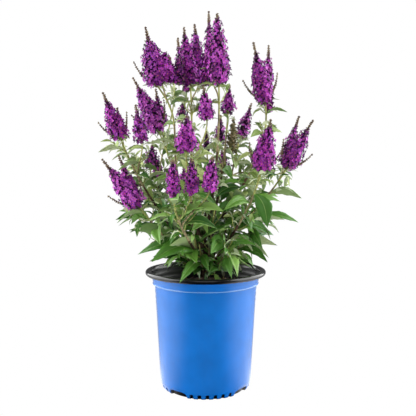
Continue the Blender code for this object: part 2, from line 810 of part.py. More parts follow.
def make_masses(boughs):
    """Places every stem and head first, then grows the leaves of one mass after the other."""
    rng = np.random.default_rng(SEED)
    space = Space()
    space.add("trunk", rings_shape(trunk_rings(0)))
    for bough in boughs:
        points = [v.co for v in bough.data.vertices]
        space.add(bough.name, (points, [tuple(p.vertices) for p in bough.data.polygons]))
    add_pot_to(space)
    skeletons = [(shoot.name, *stem_and_heads(shoot)) for shoot in SHOOTS]
    skeletons += [(shoot.name, *leafy_limb(shoot)) for shoot in LEAFY_SHOOTS]
    for name, shapes, limbs in skeletons:
        shapes += [shown_leaf(leaf, limbs[0][0]) for leaf in SHOWN_LEAVES if leaf.shoot == name]
    for name, shapes, _ in skeletons:
        for shape in shapes:
            space.add(name, shape)
    for name, shapes, limbs in skeletons:
        leaves = grow_leaves(name, limbs, space, rng)
        fuse(name, shapes + leaves)


def add_pot_to(space):
    """The pot's lip and inner wall, as rings that leaves keep clear of."""
    around = [(r, z) for r, z in pot_profile() if z > SOIL_TOP - 10 * MM]
    count = len(around)
    verts = []
    faces = []
    for s in range(POT_SIDES):
        angle = 2 * math.pi * s / POT_SIDES
        verts += [Vector((r * math.cos(angle), r * math.sin(angle), z)) for r, z in around]
    for s in range(POT_SIDES):
        after = (s + 1) % POT_SIDES
        for i in range(count - 1):
            a, b = s * count + i, after * count + i
            faces.append((a, a + 1, b + 1, b))
    space.add("pot", (verts, faces))


def main():
    clear_scene()
    make_pot()
    make_potting_mix()
    clearance = make_trunk()
    make_masses([make_bough(shoot, clearance) for shoot in SHOOTS])


main()
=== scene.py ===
"""Looks of a butterfly bush in its nursery pot, laid out as an add-on and run as a script.

The plant is grown again by the rule of its solids and carried to finer twigs, leaves and florets.
"""

import math
from collections import namedtuple
from functools import lru_cache

import bpy
import numpy as np
from bpy.props import FloatProperty, FloatVectorProperty, IntProperty, PointerProperty
from mathutils import Matrix, Vector
from mathutils.kdtree import KDTree


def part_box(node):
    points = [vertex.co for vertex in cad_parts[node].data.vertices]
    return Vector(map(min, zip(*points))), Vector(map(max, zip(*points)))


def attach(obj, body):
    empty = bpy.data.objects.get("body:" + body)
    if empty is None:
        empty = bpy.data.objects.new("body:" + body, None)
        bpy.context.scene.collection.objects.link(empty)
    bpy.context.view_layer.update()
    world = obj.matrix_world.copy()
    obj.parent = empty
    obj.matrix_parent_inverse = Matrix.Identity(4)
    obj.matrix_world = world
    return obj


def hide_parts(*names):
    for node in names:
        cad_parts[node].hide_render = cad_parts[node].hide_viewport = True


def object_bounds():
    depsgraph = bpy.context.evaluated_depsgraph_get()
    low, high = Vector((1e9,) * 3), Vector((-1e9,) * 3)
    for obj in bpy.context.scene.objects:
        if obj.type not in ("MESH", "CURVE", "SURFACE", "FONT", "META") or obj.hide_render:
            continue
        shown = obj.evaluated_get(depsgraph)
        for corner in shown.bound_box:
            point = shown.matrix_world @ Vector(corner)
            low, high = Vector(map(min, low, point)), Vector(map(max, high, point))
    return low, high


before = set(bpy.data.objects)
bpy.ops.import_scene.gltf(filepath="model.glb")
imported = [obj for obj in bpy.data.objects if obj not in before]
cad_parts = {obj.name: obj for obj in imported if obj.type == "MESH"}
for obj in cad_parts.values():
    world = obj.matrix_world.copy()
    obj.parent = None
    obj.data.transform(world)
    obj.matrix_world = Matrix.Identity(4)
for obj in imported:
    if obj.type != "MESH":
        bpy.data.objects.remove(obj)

bl_info = {
    "name": "Butterfly bush in a nursery pot",
    "version": (1, 0, 0),
    "blender": (4, 5, 0),
    "location": "View3D > Sidebar > Butterfly bush",
    "description": "Makes the pot, the potting mix, the bark, the leaves and the flowers of the bush",
    "category": "Add Mesh",
}

MM = 0.001
GAP = 0.3 * MM
TINY = 1e-12
SOLIDS_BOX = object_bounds()

# Pot, as in the solids.
POT_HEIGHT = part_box("pot")[1].z
LIP_DEPTH = 9 * MM
BAND_DEPTH = 17 * MM
BAND_FOOT = POT_HEIGHT - LIP_DEPTH - BAND_DEPTH
BAND_BEAD = 204.7 * MM
WALL_FOOT_RADIUS = 88.5 * MM
WALL_FOOT_HEIGHT = 12 * MM
BASE_RADIUS = 82 * MM
FLOOR = 3 * MM
QUARTERS = 4
PATTERN_TURN = math.radians(7.4)
ARCH_SPAN = math.radians(27)
ARCH_HEIGHT = 11.4 * MM
ARCH_DEPTH = 4.5 * MM
NOTCHES = 6
NOTCH_PITCH = math.radians(10)
NOTCH_HALF_WIDTH = 3.7 * MM
NOTCH_HEIGHT = 9.8 * MM
NOTCH_DEPTH = 2.5 * MM
RECESS_CONE = (82.4 * MM, 0.36)
RECESS_EDGE = (-0.35 * MM, -0.05 * MM)
SOIL_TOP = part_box("potting_mix")[1].z

# Limbs, as in the solids.
TRUNK_HEIGHT = 96 * MM
TRUNK_FLARE = 17 * MM
TRUNK_RADIUS = 9.5 * MM
TRUNK_TIP_RADIUS = 6 * MM
TRUNK_LEAN = Vector((-5 * MM, 3 * MM, 0))
TRUNK_CURVE = 1.5
FLARE_SHARE = 0.16
ROOT_LOBES = 3
LOBE_SHARE = 0.35
LOBE_TURN = 0.6
BOUGH_SHARE = 0.30
BOUGH_OFFSET = 3 * MM
BOUGH_FOOT_RADIUS = 3.6 * MM
BOUGH_TIP_RADIUS = 2.5 * MM
STEM_TOP_RADIUS = 1.5 * MM
TWIG_RADIUS = 1.7 * MM
TWIG_TOP_RADIUS = 1.2 * MM
FORK_STEP = 0.12
LEAFY_RADIUS = 2 * MM
LEAFY_RISES = 40
LEAFY_ENDS = 55
LEAFY_WOOD = 0.2
PATH_POINTS = 60

# A leafy shoot's start is looked for along the first of its path, in small steps. It is where its
# solid's foot has three corners, no further from the path than its radius and a little.
FOOT_SEARCH = (45 * MM, 0.05 * MM)
FOOT_CORNERS = 3
FOOT_ROOM = 1.05

# The shoot that is bowed aside, how far, and from which height to which.
BOWED_SHOOT = "upper_left"
BOW = Vector((20 * MM, 6 * MM, 0))
BOW_HEIGHTS = (380 * MM, 583 * MM)

# Leaves, as in the solids.
LEAF_SPACING_LOW = 24 * MM
LEAF_SPACING_HIGH = 44 * MM
LEAF_LOW = 86 * MM
LEAF_HIGH = 36 * MM
LEAF_LOW_HEIGHT = 250 * MM
LEAF_HIGH_HEIGHT = 560 * MM
LEAF_WIDTH_SHARE = 0.29
LEAF_RISE_SHARE = 0.14
LEAF_FORWARD = 0.25
LEAF_ROLL = 0.8
SHOWN_ROLL = 0.7
LEAF_DROOP = (-0.45, 0.4)
LEAF_SWING = 0.3
LEAF_SIZES = (0.82, 1.12)
LEAF_CURVE = 0.8
SPACINGS = (0.85, 1.15)
LEAF_START = 12 * MM
SEED = 41
TIP_MATCH = 1.2 * MM

# What was tried in turn for a leaf that had no room: a share of its length, and a turn about the stem.
LEAF_TRIES = ((1.0, 0.0), (0.85, 0.5), (0.7, -0.5))

# A way that no stem takes, for finding what lies across a stem.
ASLANT = (0.2, 0.1, 1.0)

# Where the photo was taken from.
CAMERA_ASIDE = 4.66 * MM
CAMERA_DISTANCE = 1.16
CAMERA_HEIGHT = 0.425

# Stems that the photo shows between the leaves, from height to height, and the room left beside.
SHOWN_STEMS = (
    "left_low", "left_outer", "front_high", "front_low", "top", "right_front", "right_outer",
    "upper_right")
STEMS_SHOW = (235 * MM, 430 * MM)
STEM_ROOM = 5 * MM

# The part of a head that shows in the photo, along it and across, as shares of its size. Leaves in
# front of it are left out.
HEAD_SHOWS = (0.02, 0.85)
HEAD_SHOWS_ACROSS = 0.9

# The part of a head that no leaf may come into, as shares of its length.
HEAD_ENDS = (-0.06, 1.05)
MIX_CLEARANCE = 5 * MM

Head = namedtuple(
    "Head", "bearing reach height length width lean lean_bearing age full", defaults=(0.0, 0.0))
Shoot = namedtuple("Shoot", "name leaves_trunk bearing rises fork wood heads")
LeafyShoot = namedtuple("LeafyShoot", "name leaves_trunk bearing reach height")
ShownLeaf = namedtuple("ShownLeaf", "shoot height bearing reach tip_height width")

# The shoots of the solids, in millimetres and degrees. One head is 10 mm longer there. wood is the
# share of the stem that is dark. age goes from 0 in full bloom to 1 when the head is spent, and full
# is 1 where it is in bloom up to its tip. These three are looks only.
SHOOTS = (
    Shoot("left_low", 0.20, -158, 42, 0.72, 0.45, (
        Head(-154, 139, 359, 104, 42, 37, -166),
        Head(-167, 137, 372, 84, 24, 21, 180))),
    Shoot("left_outer", 0.36, -178, 50, 0.55, 0.50, (
        Head(-173, 164, 486, 89, 37, 20, -172),
        Head(-149, 135, 476, 66, 27, 14, -123, 0.1))),
    Shoot("left_high", 0.58, 166, 60, 0.80, 0.35, (
        Head(162, 99, 503, 111, 44, 25, -176),
        Head(149, 103, 515, 74, 26, 14, 140, 0.2))),
    Shoot("upper_left", 0.70, -138, 62, 0.86, 0.30, (
        Head(-157, 100, 583, 102, 44, 12, -140),
        Head(-152, 88, 590, 42, 32, 20, -30, full=0.6))),
    Shoot("top_left", 0.88, 150, 64, 0.80, 0.32, (
        Head(-145, 36, 588, 102, 35, 7, -155, full=0.5),
        Head(115, 36, 598, 112, 38, 4, 140, full=0.4),
        Head(127, 78, 602, 92, 25, 14, 118, 0.2))),
    Shoot("top", 0.90, -60, 66, 0.80, 0.40, (
        Head(-68, 65, 584, 118, 42, 7, -105, full=1.0),
        Head(48, 14, 616, 111, 25, 3, 130, 0.1))),
    Shoot("upper_right", 0.80, -8, 62, 0.84, 0.30, (
        Head(-15, 115, 553, 108, 38, 13, -155),
        Head(2, 117, 566, 98, 26, 7, 60, 0.1))),
    Shoot("right_outer", 0.52, -4, 48, 0.84, 0.40, (
        Head(-5, 157, 430, 100, 38, 28, -6),
        Head(10, 158, 440, 96, 25, 20, 20, 0.2))),
    Shoot("right_front", 0.26, -40, 52, 0.86, 0.30, (
        Head(-42, 135, 427, 86, 43, 14, -45, full=0.5),)),
    Shoot("front_low", 0.24, -100, 48, 0.60, 0.30, (
        Head(-110, 158, 383, 62, 24, 22, -90, full=1.0),
        Head(-99, 141, 386, 60, 25, 23, -92, full=1.0),
        Head(-87, 150, 393, 56, 29, 25, -80, full=1.0))),
    Shoot("front_high", 0.60, -110, 60, 0.62, 0.36, (
        Head(-107, 115, 459, 60, 39, 15, -85, full=0.8),
        Head(-87, 50, 519, 60, 30, 12, -120))),
    Shoot("inner_right", 0.66, 56, 62, 0.62, 0.40, (
        Head(53, 75, 540, 58, 29, 14, 75, 0.1),
        Head(62, 80, 421, 48, 28, 26, 100, 0.35, 0.6))),
    Shoot("back_left", 0.44, 134, 52, 0.50, 0.50, (
        Head(137, 160, 430, 60, 34, 20, 80, 0.5),
        Head(156, 188, 488, 66, 27, 14, 140),
        Head(127, 112, 605, 56, 29, 24, 118, 0.8))),
    Shoot("back", 0.30, 96, 52, 0.50, 0.50, (
        Head(89, 150, 462, 56, 30, 22, 95, 0.85),
        Head(112, 140, 528, 54, 30, 22, 75, 0.6),
        Head(76, 124, 482, 62, 30, 19, 84, 0.45),
        Head(106, 166, 380, 58, 32, 22, 103))),
    Shoot("back_right", 0.38, 44, 52, 0.52, 0.45, (
        Head(48, 108, 491, 78, 30, 23, 40, 0.35),
        Head(47, 170, 436, 72, 32, 12, 65, 0.1),
        Head(25, 190, 436, 66, 32, 20, 38))),
)

# Smaller groups of florets, only here: between heads that have grown into one, trailing under a head,
# far behind on the left, and one that is spent.
FILLERS = (
    Head(-150, 84, 591, 88, 34, 24, -175, full=0.6),
    Head(-165, 90, 590, 70, 30, 22, -175, full=0.9),
    Head(-150, 84, 588, 57, 40, 3, 180, full=0.9),
    Head(-141, 64, 584, 50, 28, 3, 0, 0.35, 1.0),
    Head(-8, 121, 536, 30, 20, 8, 20, 0.2, 0.5),
    Head(90, 20, 592, 72, 30, 1, 0, 0.1, 0.8),
    Head(-157, 38, 574, 26, 18, 5, -90, 0.2, 0.6),
    Head(45, 74, 460, 78, 28, 4, 0, 1.0, 0.0),
    Head(137, 133, 405, 56, 30, 10, 180, 0.5, 0.3),
)

LEAFY_SHOOTS = (
    LeafyShoot("foot_front", 0.10, -100, 66, 286),
    LeafyShoot("foot_front_left", 0.10, -136, 88, 306),
    LeafyShoot("foot_left", 0.12, -179, 126, 350),
    LeafyShoot("foot_back_left", 0.12, 128, 112, 338),
    LeafyShoot("foot_back", 0.12, 84, 104, 326),
    LeafyShoot("foot_back_right", 0.12, 38, 112, 330),
    LeafyShoot("foot_right", 0.12, -8, 108, 326),
    LeafyShoot("foot_front_right", 0.10, -56, 90, 298),
    LeafyShoot("inner_front_left", 0.32, -126, 62, 372),
    LeafyShoot("inner_front", 0.34, -72, 58, 352),
    LeafyShoot("inner_front_right", 0.40, -20, 74, 378),
    LeafyShoot("inner_back_right", 0.24, 62, 70, 366),
    LeafyShoot("inner_back_left", 0.26, 150, 78, 380),
)

# Large leaves that the photo shows. The first eleven are in the solids too, where three of them start
# from another place, and the last four are only here.
SHOWN_LEAVES = (
    ShownLeaf("foot_front", 264, -131, 146, 261, 30),
    ShownLeaf("foot_front_left", 274, -160, 136, 265, 18),
    ShownLeaf("foot_front", 248, -110, 133, 226, 17),
    ShownLeaf("foot_front", 262, -86, 100, 241, 16),
    ShownLeaf("right_front", 283, -85, 108, 276, 27),
    ShownLeaf("foot_front_right", 268, -67, 120, 231, 18),
    ShownLeaf("foot_right", 268, -27, 130, 252, 15),
    ShownLeaf("foot_right", 300, -41, 137, 282, 17),
    ShownLeaf("foot_right", 318, -6, 180, 323, 17),
    ShownLeaf("foot_left", 320, -155, 181, 333, 18),
    ShownLeaf("foot_left", 296, -153, 156, 309, 14),
    ShownLeaf("inner_front_left", 350, -136, 100, 369, 20),
    ShownLeaf("inner_front_right", 352, -72, 63, 343, 19),
    ShownLeaf("right_front", 378, -42, 149, 321, 26),
    ShownLeaf("foot_front_left", 300, -131, 113, 286, 14),
)

# A head's outline: share of its length above the foot, and share of its half width.
HEAD_OUTLINE = np.array((
    (-0.05, 0.30), (0.03, 0.84), (0.17, 1.00), (0.34, 0.88), (0.51, 0.70),
    (0.66, 0.49), (0.78, 0.28), (0.86, 0.13), (1.00, 0.06)))

# What a full head adds to its outline, at shares of its length.
FULLER_SHARES = (0.5, 0.7, 0.9, 1.0)
FULLER = (0.0, 0.20, 0.20, 0.03)
GOLDEN_ANGLE = math.pi * (3 - math.sqrt(5))


def from_screen(red, green, blue):
    """A screen colour, 0 to 255, as linear light: each share s becomes ((s + 0.055) / 1.055) ** 2.4."""
    shares = np.array([red, green, blue]) / 255
    low = shares / 12.92
    high = ((shares + 0.055) / 1.055) ** 2.4
    return tuple(float(v) for v in np.where(shares <= 0.04045, low, high))


def length_property(name, description, default, low, high):
    return FloatProperty(
        name=name, description=description, default=default, min=low, max=high, subtype="DISTANCE")


def colour_property(name, description, red, green, blue):
    return FloatVectorProperty(
        name=name, description=description, default=from_screen(red, green, blue),
        size=3, min=0, max=1, subtype="COLOR")


class PotSettings(bpy.types.PropertyGroup):
    """What a user would change on the pot."""

    body: colour_property("Body", "Colour of the moulded blue wall", 0, 104, 190)
    # The recesses of the foot take this colour too, as painted shade.
    lip: colour_property("Lip", "Colour of the lip, the lining and the recesses", 7, 8, 11)
    dimple: length_property("Dimple", "Depth of the wall's slow waves", 0.0007, 0, 0.003)


class PlantSettings(bpy.types.PropertyGroup):
    """What a user would change on the plant."""

    floret: length_property("Floret", "Width of an open floret", 0.0088, 0.005, 0.02)
    floret_pitch: length_property("Floret pitch", "Distance from floret to floret", 0.0071, 0.004, 0.02)
    bead: length_property("Bud", "Length of a bud at the tip of a head", 0.0034, 0.001, 0.006)
    side_twigs: FloatProperty(
        name="Side twigs", description="Share of the leaf axils that carry a side twig",
        default=0.6, min=0, max=1, subtype="FACTOR")
    seed: IntProperty(name="Seed", description="Seed of the finer growth", default=7, min=0)
    bark: colour_property("Bark", "Colour of the trunk and the old wood", 78, 60, 47)
    stem: colour_property("Stem", "Colour of the young stems", 186, 174, 130)


class StageSettings(bpy.types.PropertyGroup):
    """What a user would change on the stage."""

    camera_distance: length_property("Camera distance", "From the pot's axis", CAMERA_DISTANCE, 0.5, 5)
    camera_height: length_property("Camera height", "Above the floor", CAMERA_HEIGHT, 0.1, 2)
    camera_tilt: FloatProperty(
        name="Camera tilt", description="Below the horizon", default=math.radians(3.7),
        min=0, max=1.5, subtype="ANGLE")
    side_power: FloatProperty(
        name="Side lights", description="Power of each side light in watts", default=96, min=0)
    front_power: FloatProperty(
        name="Front light", description="Power of the light over the camera in watts", default=7,
        min=0)
    air: FloatProperty(
        name="Air", description="Strength of the light from all round", default=0.14, min=0)


# Finishes. Foliage and blossom have plain colours, dealt out by leaf, floret and bud.

LEAF_LOW_TINTS = ((62, 114, 32), (78, 130, 42), (98, 146, 54), (46, 94, 26), (122, 162, 74))
LEAF_HIGH_TINTS = ((126, 152, 74), (148, 170, 92), (106, 134, 62), (166, 182, 112), (92, 124, 54))
UNDER_TINTS = ((196, 206, 168), (166, 180, 132), (132, 154, 96), (104, 134, 72))
RIB_TINTS = ((128, 162, 84), (172, 186, 122))
PETAL_TINTS = (
    (158, 42, 162), (138, 32, 142), (176, 60, 180), (112, 26, 118), (146, 54, 164), (188, 84, 192))
# Dark petals of spent florets, and of the inner layer as painted shade deep in a head.
SPENT_AND_SHADE_PETAL_TINTS = ((78, 26, 88), (56, 22, 64), (104, 38, 104))
TUBE_TINT = (88, 36, 92)
THROAT_TINT = (196, 92, 62)
BUD_TINTS = (
    (112, 54, 112), (112, 90, 72), (136, 120, 90), (92, 72, 58), (152, 138, 106), (66, 66, 46),
    (96, 94, 66))
# Painted shade: the tube inside each head that darkens the gaps between its florets.
SHADE_CORE_TINT = (36, 14, 38)
CALYX_TINT = (104, 98, 66)

COAT_ROUGHNESS = 0.08


def opaque(colour):
    return (*colour, 1)


def shaded(colour, share):
    """A colour made darker, or lighter with a share over 1."""
    return tuple(min(1.0, share * part) for part in colour)


def blended(first, second, share):
    return tuple((1 - share) * a + share * b for a, b in zip(first, second))


def fed(tree, node, inputs):
    """A node with each input linked to the output that is given for it, or set to the value."""
    for label, value in inputs.items():
        if isinstance(value, bpy.types.NodeSocket):
            tree.links.new(value, node.inputs[label])
        else:
            node.inputs[label].default_value = value
    return node


def added(tree, kind, inputs, **settings):
    """A new node, with its settings made before its inputs are fed."""
    node = tree.nodes.new("ShaderNode" + kind)
    for name, value in settings.items():
        setattr(node, name, value)
    return fed(tree, node, inputs)


def calculated(tree, operation, *values):
    return added(tree, "Math", dict(enumerate(values)), operation=operation).outputs["Value"]


def shader_of(name):
    """A new material and its shader."""
    made = bpy.data.materials.new(name)
    made.use_nodes = True
    return made, made.node_tree.nodes["Principled BSDF"]


def plain_finish(name, tint, roughness, specular=0.5, sheen=0.0):
    """One colour all over, for small repeated shapes."""
    made, shader = shader_of(name)
    fed(made.node_tree, shader, {
        "Base Color": opaque(from_screen(*tint)), "Roughness": roughness,
        "Specular IOR Level": specular, "Sheen Weight": sheen})
    return made


def plain_finishes(name, tints, roughness, specular=0.5, sheen=0.0):
    return [
        plain_finish(f"{name}_{i}", tint, roughness, specular, sheen) for i, tint in enumerate(tints)]


def new_group(name, inputs, outputs):
    """A node group with sockets by name and kind, then the node of its inputs and of its outputs."""
    group = bpy.data.node_groups.new(name, "ShaderNodeTree")
    for way, sockets in (("INPUT", inputs), ("OUTPUT", outputs)):
        for label, kind in sockets.items():
            group.interface.new_socket(label, in_out=way, socket_type="NodeSocket" + kind)
    return group, group.nodes.new("NodeGroupInput"), group.nodes.new("NodeGroupOutput")


def group_of(name, make):
    """The node group of this name, made where it is first needed."""
    return bpy.data.node_groups.get(name) or make(name)


def noise_in(tree, vector, scale, detail, stretch=(1, 1, 1)):
    """A noise texture, at a scale in waves per metre, stretched along the axes."""
    place = added(tree, "Mapping", {"Vector": vector, "Scale": stretch}).outputs["Vector"]
    return added(tree, "TexNoise", {"Vector": place, "Scale": scale, "Detail": detail}).outputs["Fac"]


def ranged(tree, value, low, high, to_low, to_high):
    """A value carried from one range to another, and kept inside it."""
    inputs = {
        "Value": value, "From Min": low, "From Max": high, "To Min": to_low, "To Max": to_high}
    return added(tree, "MapRange", inputs).outputs["Result"]


# The places of the share and of the two colours among a Mix node's inputs, and of its colour output.
MIX_SHARE, MIX_FIRST, MIX_SECOND = 0, 6, 7
MIX_RESULT = 2


def mixed(tree, share, first, second):
    """Two colours mixed by a share from 0 to 1."""
    inputs = {MIX_SHARE: share, MIX_FIRST: first, MIX_SECOND: second}
    return added(tree, "Mix", inputs, data_type="RGBA").outputs[MIX_RESULT]


# Detail of the slow and of the fine noise, stretch of the slow one, the range where it carries the
# colour from low to high, and which of the two gives the surface its height.
Pattern = namedtuple("Pattern", "slow_detail fine_detail stretch change height")
PATTERNS = {
    "Weathered": Pattern(3, 4, (1, 1, 1), (0.35, 0.68), "Fine"),
    "Fibrous": Pattern(4, 3, (1, 1, 0.12), (0.36, 0.62), "Slow")}
NOISE_RANGE = (0.3, 0.7)


def patterned_group(name):
    """A slow noise parts two colours, and a fine one sets the roughness.

    Weathered has slow patches and a fine grain, and Fibrous long strips up the wood.
    """
    pattern = PATTERNS[name]
    numbers = dict.fromkeys(("Slow", "Fine", "Smoothest", "Roughest"), "Float")
    group, first, last = new_group(
        name, {"Vector": "Vector", "Low": "Color", "High": "Color", **numbers},
        {"Color": "Color", "Roughness": "Float", "Height": "Float"})
    given = first.outputs
    slow = noise_in(group, given["Vector"], given["Slow"], pattern.slow_detail, pattern.stretch)
    fine = noise_in(group, given["Vector"], given["Fine"], pattern.fine_detail)
    share = ranged(group, slow, *pattern.change, 0, 1)
    fed(group, last, {
        "Color": mixed(group, share, given["Low"], given["High"]),
        "Roughness": ranged(group, fine, *NOISE_RANGE, given["Smoothest"], given["Roughest"]),
        "Height": slow if pattern.height == "Slow" else fine})
    return group


def recessed_group(name):
    """1 where a point of the foot lies in a recess, and 0 on the wall: the mask of the painted shade
    there.

    A cone stands between the two, with the radius RECESS_CONE[0] + RECESS_CONE[1] x height.
    """
    group, first, last = new_group(name, {"Vector": "Vector"}, {"Mask": "Float"})
    place = added(group, "SeparateXYZ", {"Vector": first.outputs["Vector"]}).outputs
    flat = added(group, "CombineXYZ", {"X": place["X"], "Y": place["Y"]}).outputs["Vector"]
    radius = added(group, "VectorMath", {0: flat}, operation="LENGTH").outputs["Value"]
    cone = calculated(group, "MULTIPLY_ADD", place["Z"], RECESS_CONE[1], RECESS_CONE[0])
    in_recess = ranged(group, calculated(group, "SUBTRACT", cone, radius), *RECESS_EDGE, 0, 1)
    in_foot = ranged(group, place["Z"], WALL_FOOT_HEIGHT, WALL_FOOT_HEIGHT - MM, 0, 1)
    fed(group, last, {"Mask": calculated(group, "MULTIPLY", in_recess, in_foot)})
    return group


def paint_recess_shade(finish, tint):
    """Mix a finish's base colour with a dark tint by the recess mask: painted shade in the drain arches
    and notches.
    """
    tree = finish.node_tree
    shader = tree.nodes["Principled BSDF"]
    base = shader.inputs["Base Color"].links[0].from_socket
    place = added(tree, "TexCoord", {}).outputs["Object"]
    mask = added(tree, "Group", {"Vector": place}, node_tree=group_of("Recessed", recessed_group))
    fed(tree, shader, {"Base Color": mixed(tree, mask.outputs["Mask"], base, opaque(tint))})


def patterned_finish(name, pattern, colours, scales, roughness, bump, specular, coat=0.0):
    """A material whose colour, roughness and bumps come from a pattern on Object coordinates.

    colours are the low and the high one, scales the slow and the fine one, roughness the least and
    the most, and bump its strength and its height.
    """
    made, shader = shader_of(name)
    tree = made.node_tree
    inputs = {"Vector": added(tree, "TexCoord", {}).outputs["Object"]}
    inputs.update(zip(("Low", "High"), map(opaque, colours)))
    inputs.update(zip(("Slow", "Fine", "Smoothest", "Roughest"), (*scales, *roughness)))
    given = added(tree, "Group", inputs, node_tree=group_of(pattern, patterned_group)).outputs
    raised = added(
        tree, "Bump", {"Strength": bump[0], "Distance": bump[1], "Height": given["Height"]})
    fed(tree, shader, {
        "Base Color": given["Color"], "Roughness": given["Roughness"],
        "Normal": raised.outputs["Normal"], "Specular IOR Level": specular,
        "Coat Weight": coat, "Coat Roughness": COAT_ROUGHNESS})
    return made


def bark_finish(name, colour):
    return patterned_finish(
        name, "Fibrous", (shaded(colour, 0.45), shaded(colour, 1.35)), (420, 900), (0.7, 0.95),
        (0.6, 0.8 * MM), specular=0.3)


# Meshes. A skin is any number of closed surfaces: points, quads, triangles, the number of each
# face's finish, and whether a point lies on a sharp rim.

Skin = namedtuple("Skin", "points quads triangles quad_finish triangle_finish rim")


def unit(vectors):
    return vectors / np.maximum(np.linalg.norm(vectors, axis=-1, keepdims=True), TINY)


def closed_skins(rings, first, last, bands, ends=(0, 0), rim=None):
    """Many like closed surfaces at once.

    rings is shapes x rows x columns x 3, each ring turning right-handed about the way from first
    to last. Quads join the rows, and a fan of triangles closes each end on its own point. bands is
    a finish for each shape, or each shape and row, or each shape, row and column.
    """
    shapes, rows, columns, _ = rings.shape
    flat = rings.reshape(shapes, rows * columns, 3)
    points = np.concatenate([flat, first[:, None], last[:, None]], axis=1)
    each = rows * columns + 2
    column = np.arange(columns)
    after = (column + 1) % columns
    start = np.arange(rows - 1)[:, None] * columns
    quads = np.stack(
        [start + column, start + after, start + columns + after, start + columns + column], -1)
    top = (rows - 1) * columns
    fans = np.concatenate([
        np.stack([np.full(columns, each - 2), after, column], -1),
        np.stack([np.full(columns, each - 1), top + column, top + after], -1)])
    offsets = np.arange(shapes)[:, None, None] * each
    bands = np.asarray(bands)
    while bands.ndim < 3:
        bands = bands[..., None]
    end_finish = np.stack([np.broadcast_to(end, shapes) for end in ends], 1)
    flags = np.zeros((shapes, each), bool)
    if rim is not None:
        flags[:] = rim
    return Skin(
        points.reshape(-1, 3),
        (quads.reshape(1, -1, 4) + offsets).reshape(-1, 4),
        (fans[None] + offsets).reshape(-1, 3),
        np.broadcast_to(bands, (shapes, rows - 1, columns)).reshape(-1),
        np.repeat(end_finish, columns, axis=1).reshape(-1),
        flags.reshape(-1))


def joined(skins):
    """Several skins as one."""
    starts = np.cumsum([0] + [len(skin.points) for skin in skins])
    skins = [
        skin._replace(quads=skin.quads + start, triangles=skin.triangles + start)
        for skin, start in zip(skins, starts)]
    return Skin(*(np.concatenate(parts) for parts in zip(*skins)))


def made_mesh(name, skin, finishes):
    """A skin as a mesh object that rides with the pot. An edge between two rim points is sharp."""
    mesh = bpy.data.meshes.new(name)
    corners = np.concatenate([skin.quads.reshape(-1), skin.triangles.reshape(-1)])
    sizes = np.concatenate([np.full(len(skin.quads), 4), np.full(len(skin.triangles), 3)])
    mesh.vertices.add(len(skin.points))
    mesh.vertices.foreach_set("co", skin.points.astype(np.float32).reshape(-1))
    mesh.loops.add(len(corners))
    mesh.loops.foreach_set("vertex_index", corners.astype(np.int32))
    mesh.polygons.add(len(sizes))
    mesh.polygons.foreach_set("loop_start", (np.cumsum(sizes) - sizes).astype(np.int32))
    for finish in finishes:
        mesh.materials.append(finish)
    numbers = np.concatenate([skin.quad_finish, skin.triangle_finish])
    mesh.polygons.foreach_set("material_index", numbers.astype(np.int32))
    mesh.polygons.foreach_set("use_smooth", np.ones(len(sizes), bool))
    mesh.update(calc_edges=True)
    if skin.rim.any():
        ends = np.empty(2 * len(mesh.edges), np.int32)
        mesh.edges.foreach_get("vertices", ends)
        sharp = skin.rim[ends.reshape(-1, 2)].all(axis=1)
        mesh.attributes.new("sharp_edge", "BOOLEAN", "EDGE").data.foreach_set("value", sharp)
    piece = bpy.data.objects.new(name, mesh)
    bpy.context.scene.collection.objects.link(piece)
    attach(piece, "root")
    return piece


def wobble(points, waves, seed):
    """A smooth random height for each point, about -1 to 1: six sines along random directions.

    waves is an angle in radians for a metre. The first sine turns by 0.6 of it, and each further one
    by 0.3 more, with less height.
    """
    rng = np.random.default_rng(seed)
    total = np.zeros(points.shape[:-1])
    for n in range(6):
        way = rng.normal(size=3)
        way *= waves * (0.6 + 0.3 * n) / np.linalg.norm(way)
        total += np.sin(points @ way + rng.uniform(0, 2 * np.pi)) / (1 + 0.35 * n)
    return total / 2.4


def share_between(values, low, high):
    """How far each value lies from low to high, kept between 0 and 1."""
    return np.clip((values - low) / (high - low), 0, 1)


def smooth_step(values, low, high):
    """0 below low, 1 above high, and 3 s^2 - 2 s^3 between them."""
    s = share_between(values, low, high)
    return s * s * (3 - 2 * s)


def side_axes(ways):
    """For each direction, two directions square to it and to each other, turning right-handed."""
    least = np.argmin(np.abs(ways), axis=-1)
    first = unit(np.cross(ways, np.eye(3)[least]))
    return first, np.cross(ways, first)


def ring_angles(columns):
    return np.arange(columns) * 2 * np.pi / columns


def turned(first, second, angles):
    """The directions at these angles from the first axis toward the second."""
    return first * np.cos(angles)[..., None] + second * np.sin(angles)[..., None]


def tube_rings(paths, radii, columns):
    """Rings round many paths: shapes x stations x 3 points, and a radius for each station.

    Each ring is centre + radius (cos a, sin a) in the plane square to the path there. The axes come
    from one fixed direction for each path, so that a tube doesn't twist.
    """
    ways = unit(np.gradient(paths, axis=1))
    least = np.argmin(np.abs(paths[:, -1] - paths[:, 0]), axis=-1)
    first = unit(np.cross(ways, np.eye(3)[least][:, None]))
    second = np.cross(ways, first)
    around = turned(first[:, :, None], second[:, :, None], ring_angles(columns))
    return paths[:, :, None] + radii[:, :, None, None] * around


# How far a tube's end comes to a point beyond its last ring, as a share of the radius.
TUBE_DOME = 0.35


def tubes(paths, radii, columns, bands, ends=(0, 0)):
    """Closed round tubes along many paths."""
    rings = tube_rings(paths, radii, columns)
    below = paths[:, 0] - unit(paths[:, 1] - paths[:, 0]) * radii[:, :1] * TUBE_DOME
    above = paths[:, -1] + unit(paths[:, -1] - paths[:, -2]) * radii[:, -1:] * TUBE_DOME
    return closed_skins(rings, below, above, bands, ends)


# A bead's two rings: place from its middle as a share of the length, and radius as one of the width.
BEAD_RINGS = ((-0.2, 0.48), (0.22, 0.38))
BEAD_COLUMNS = 5


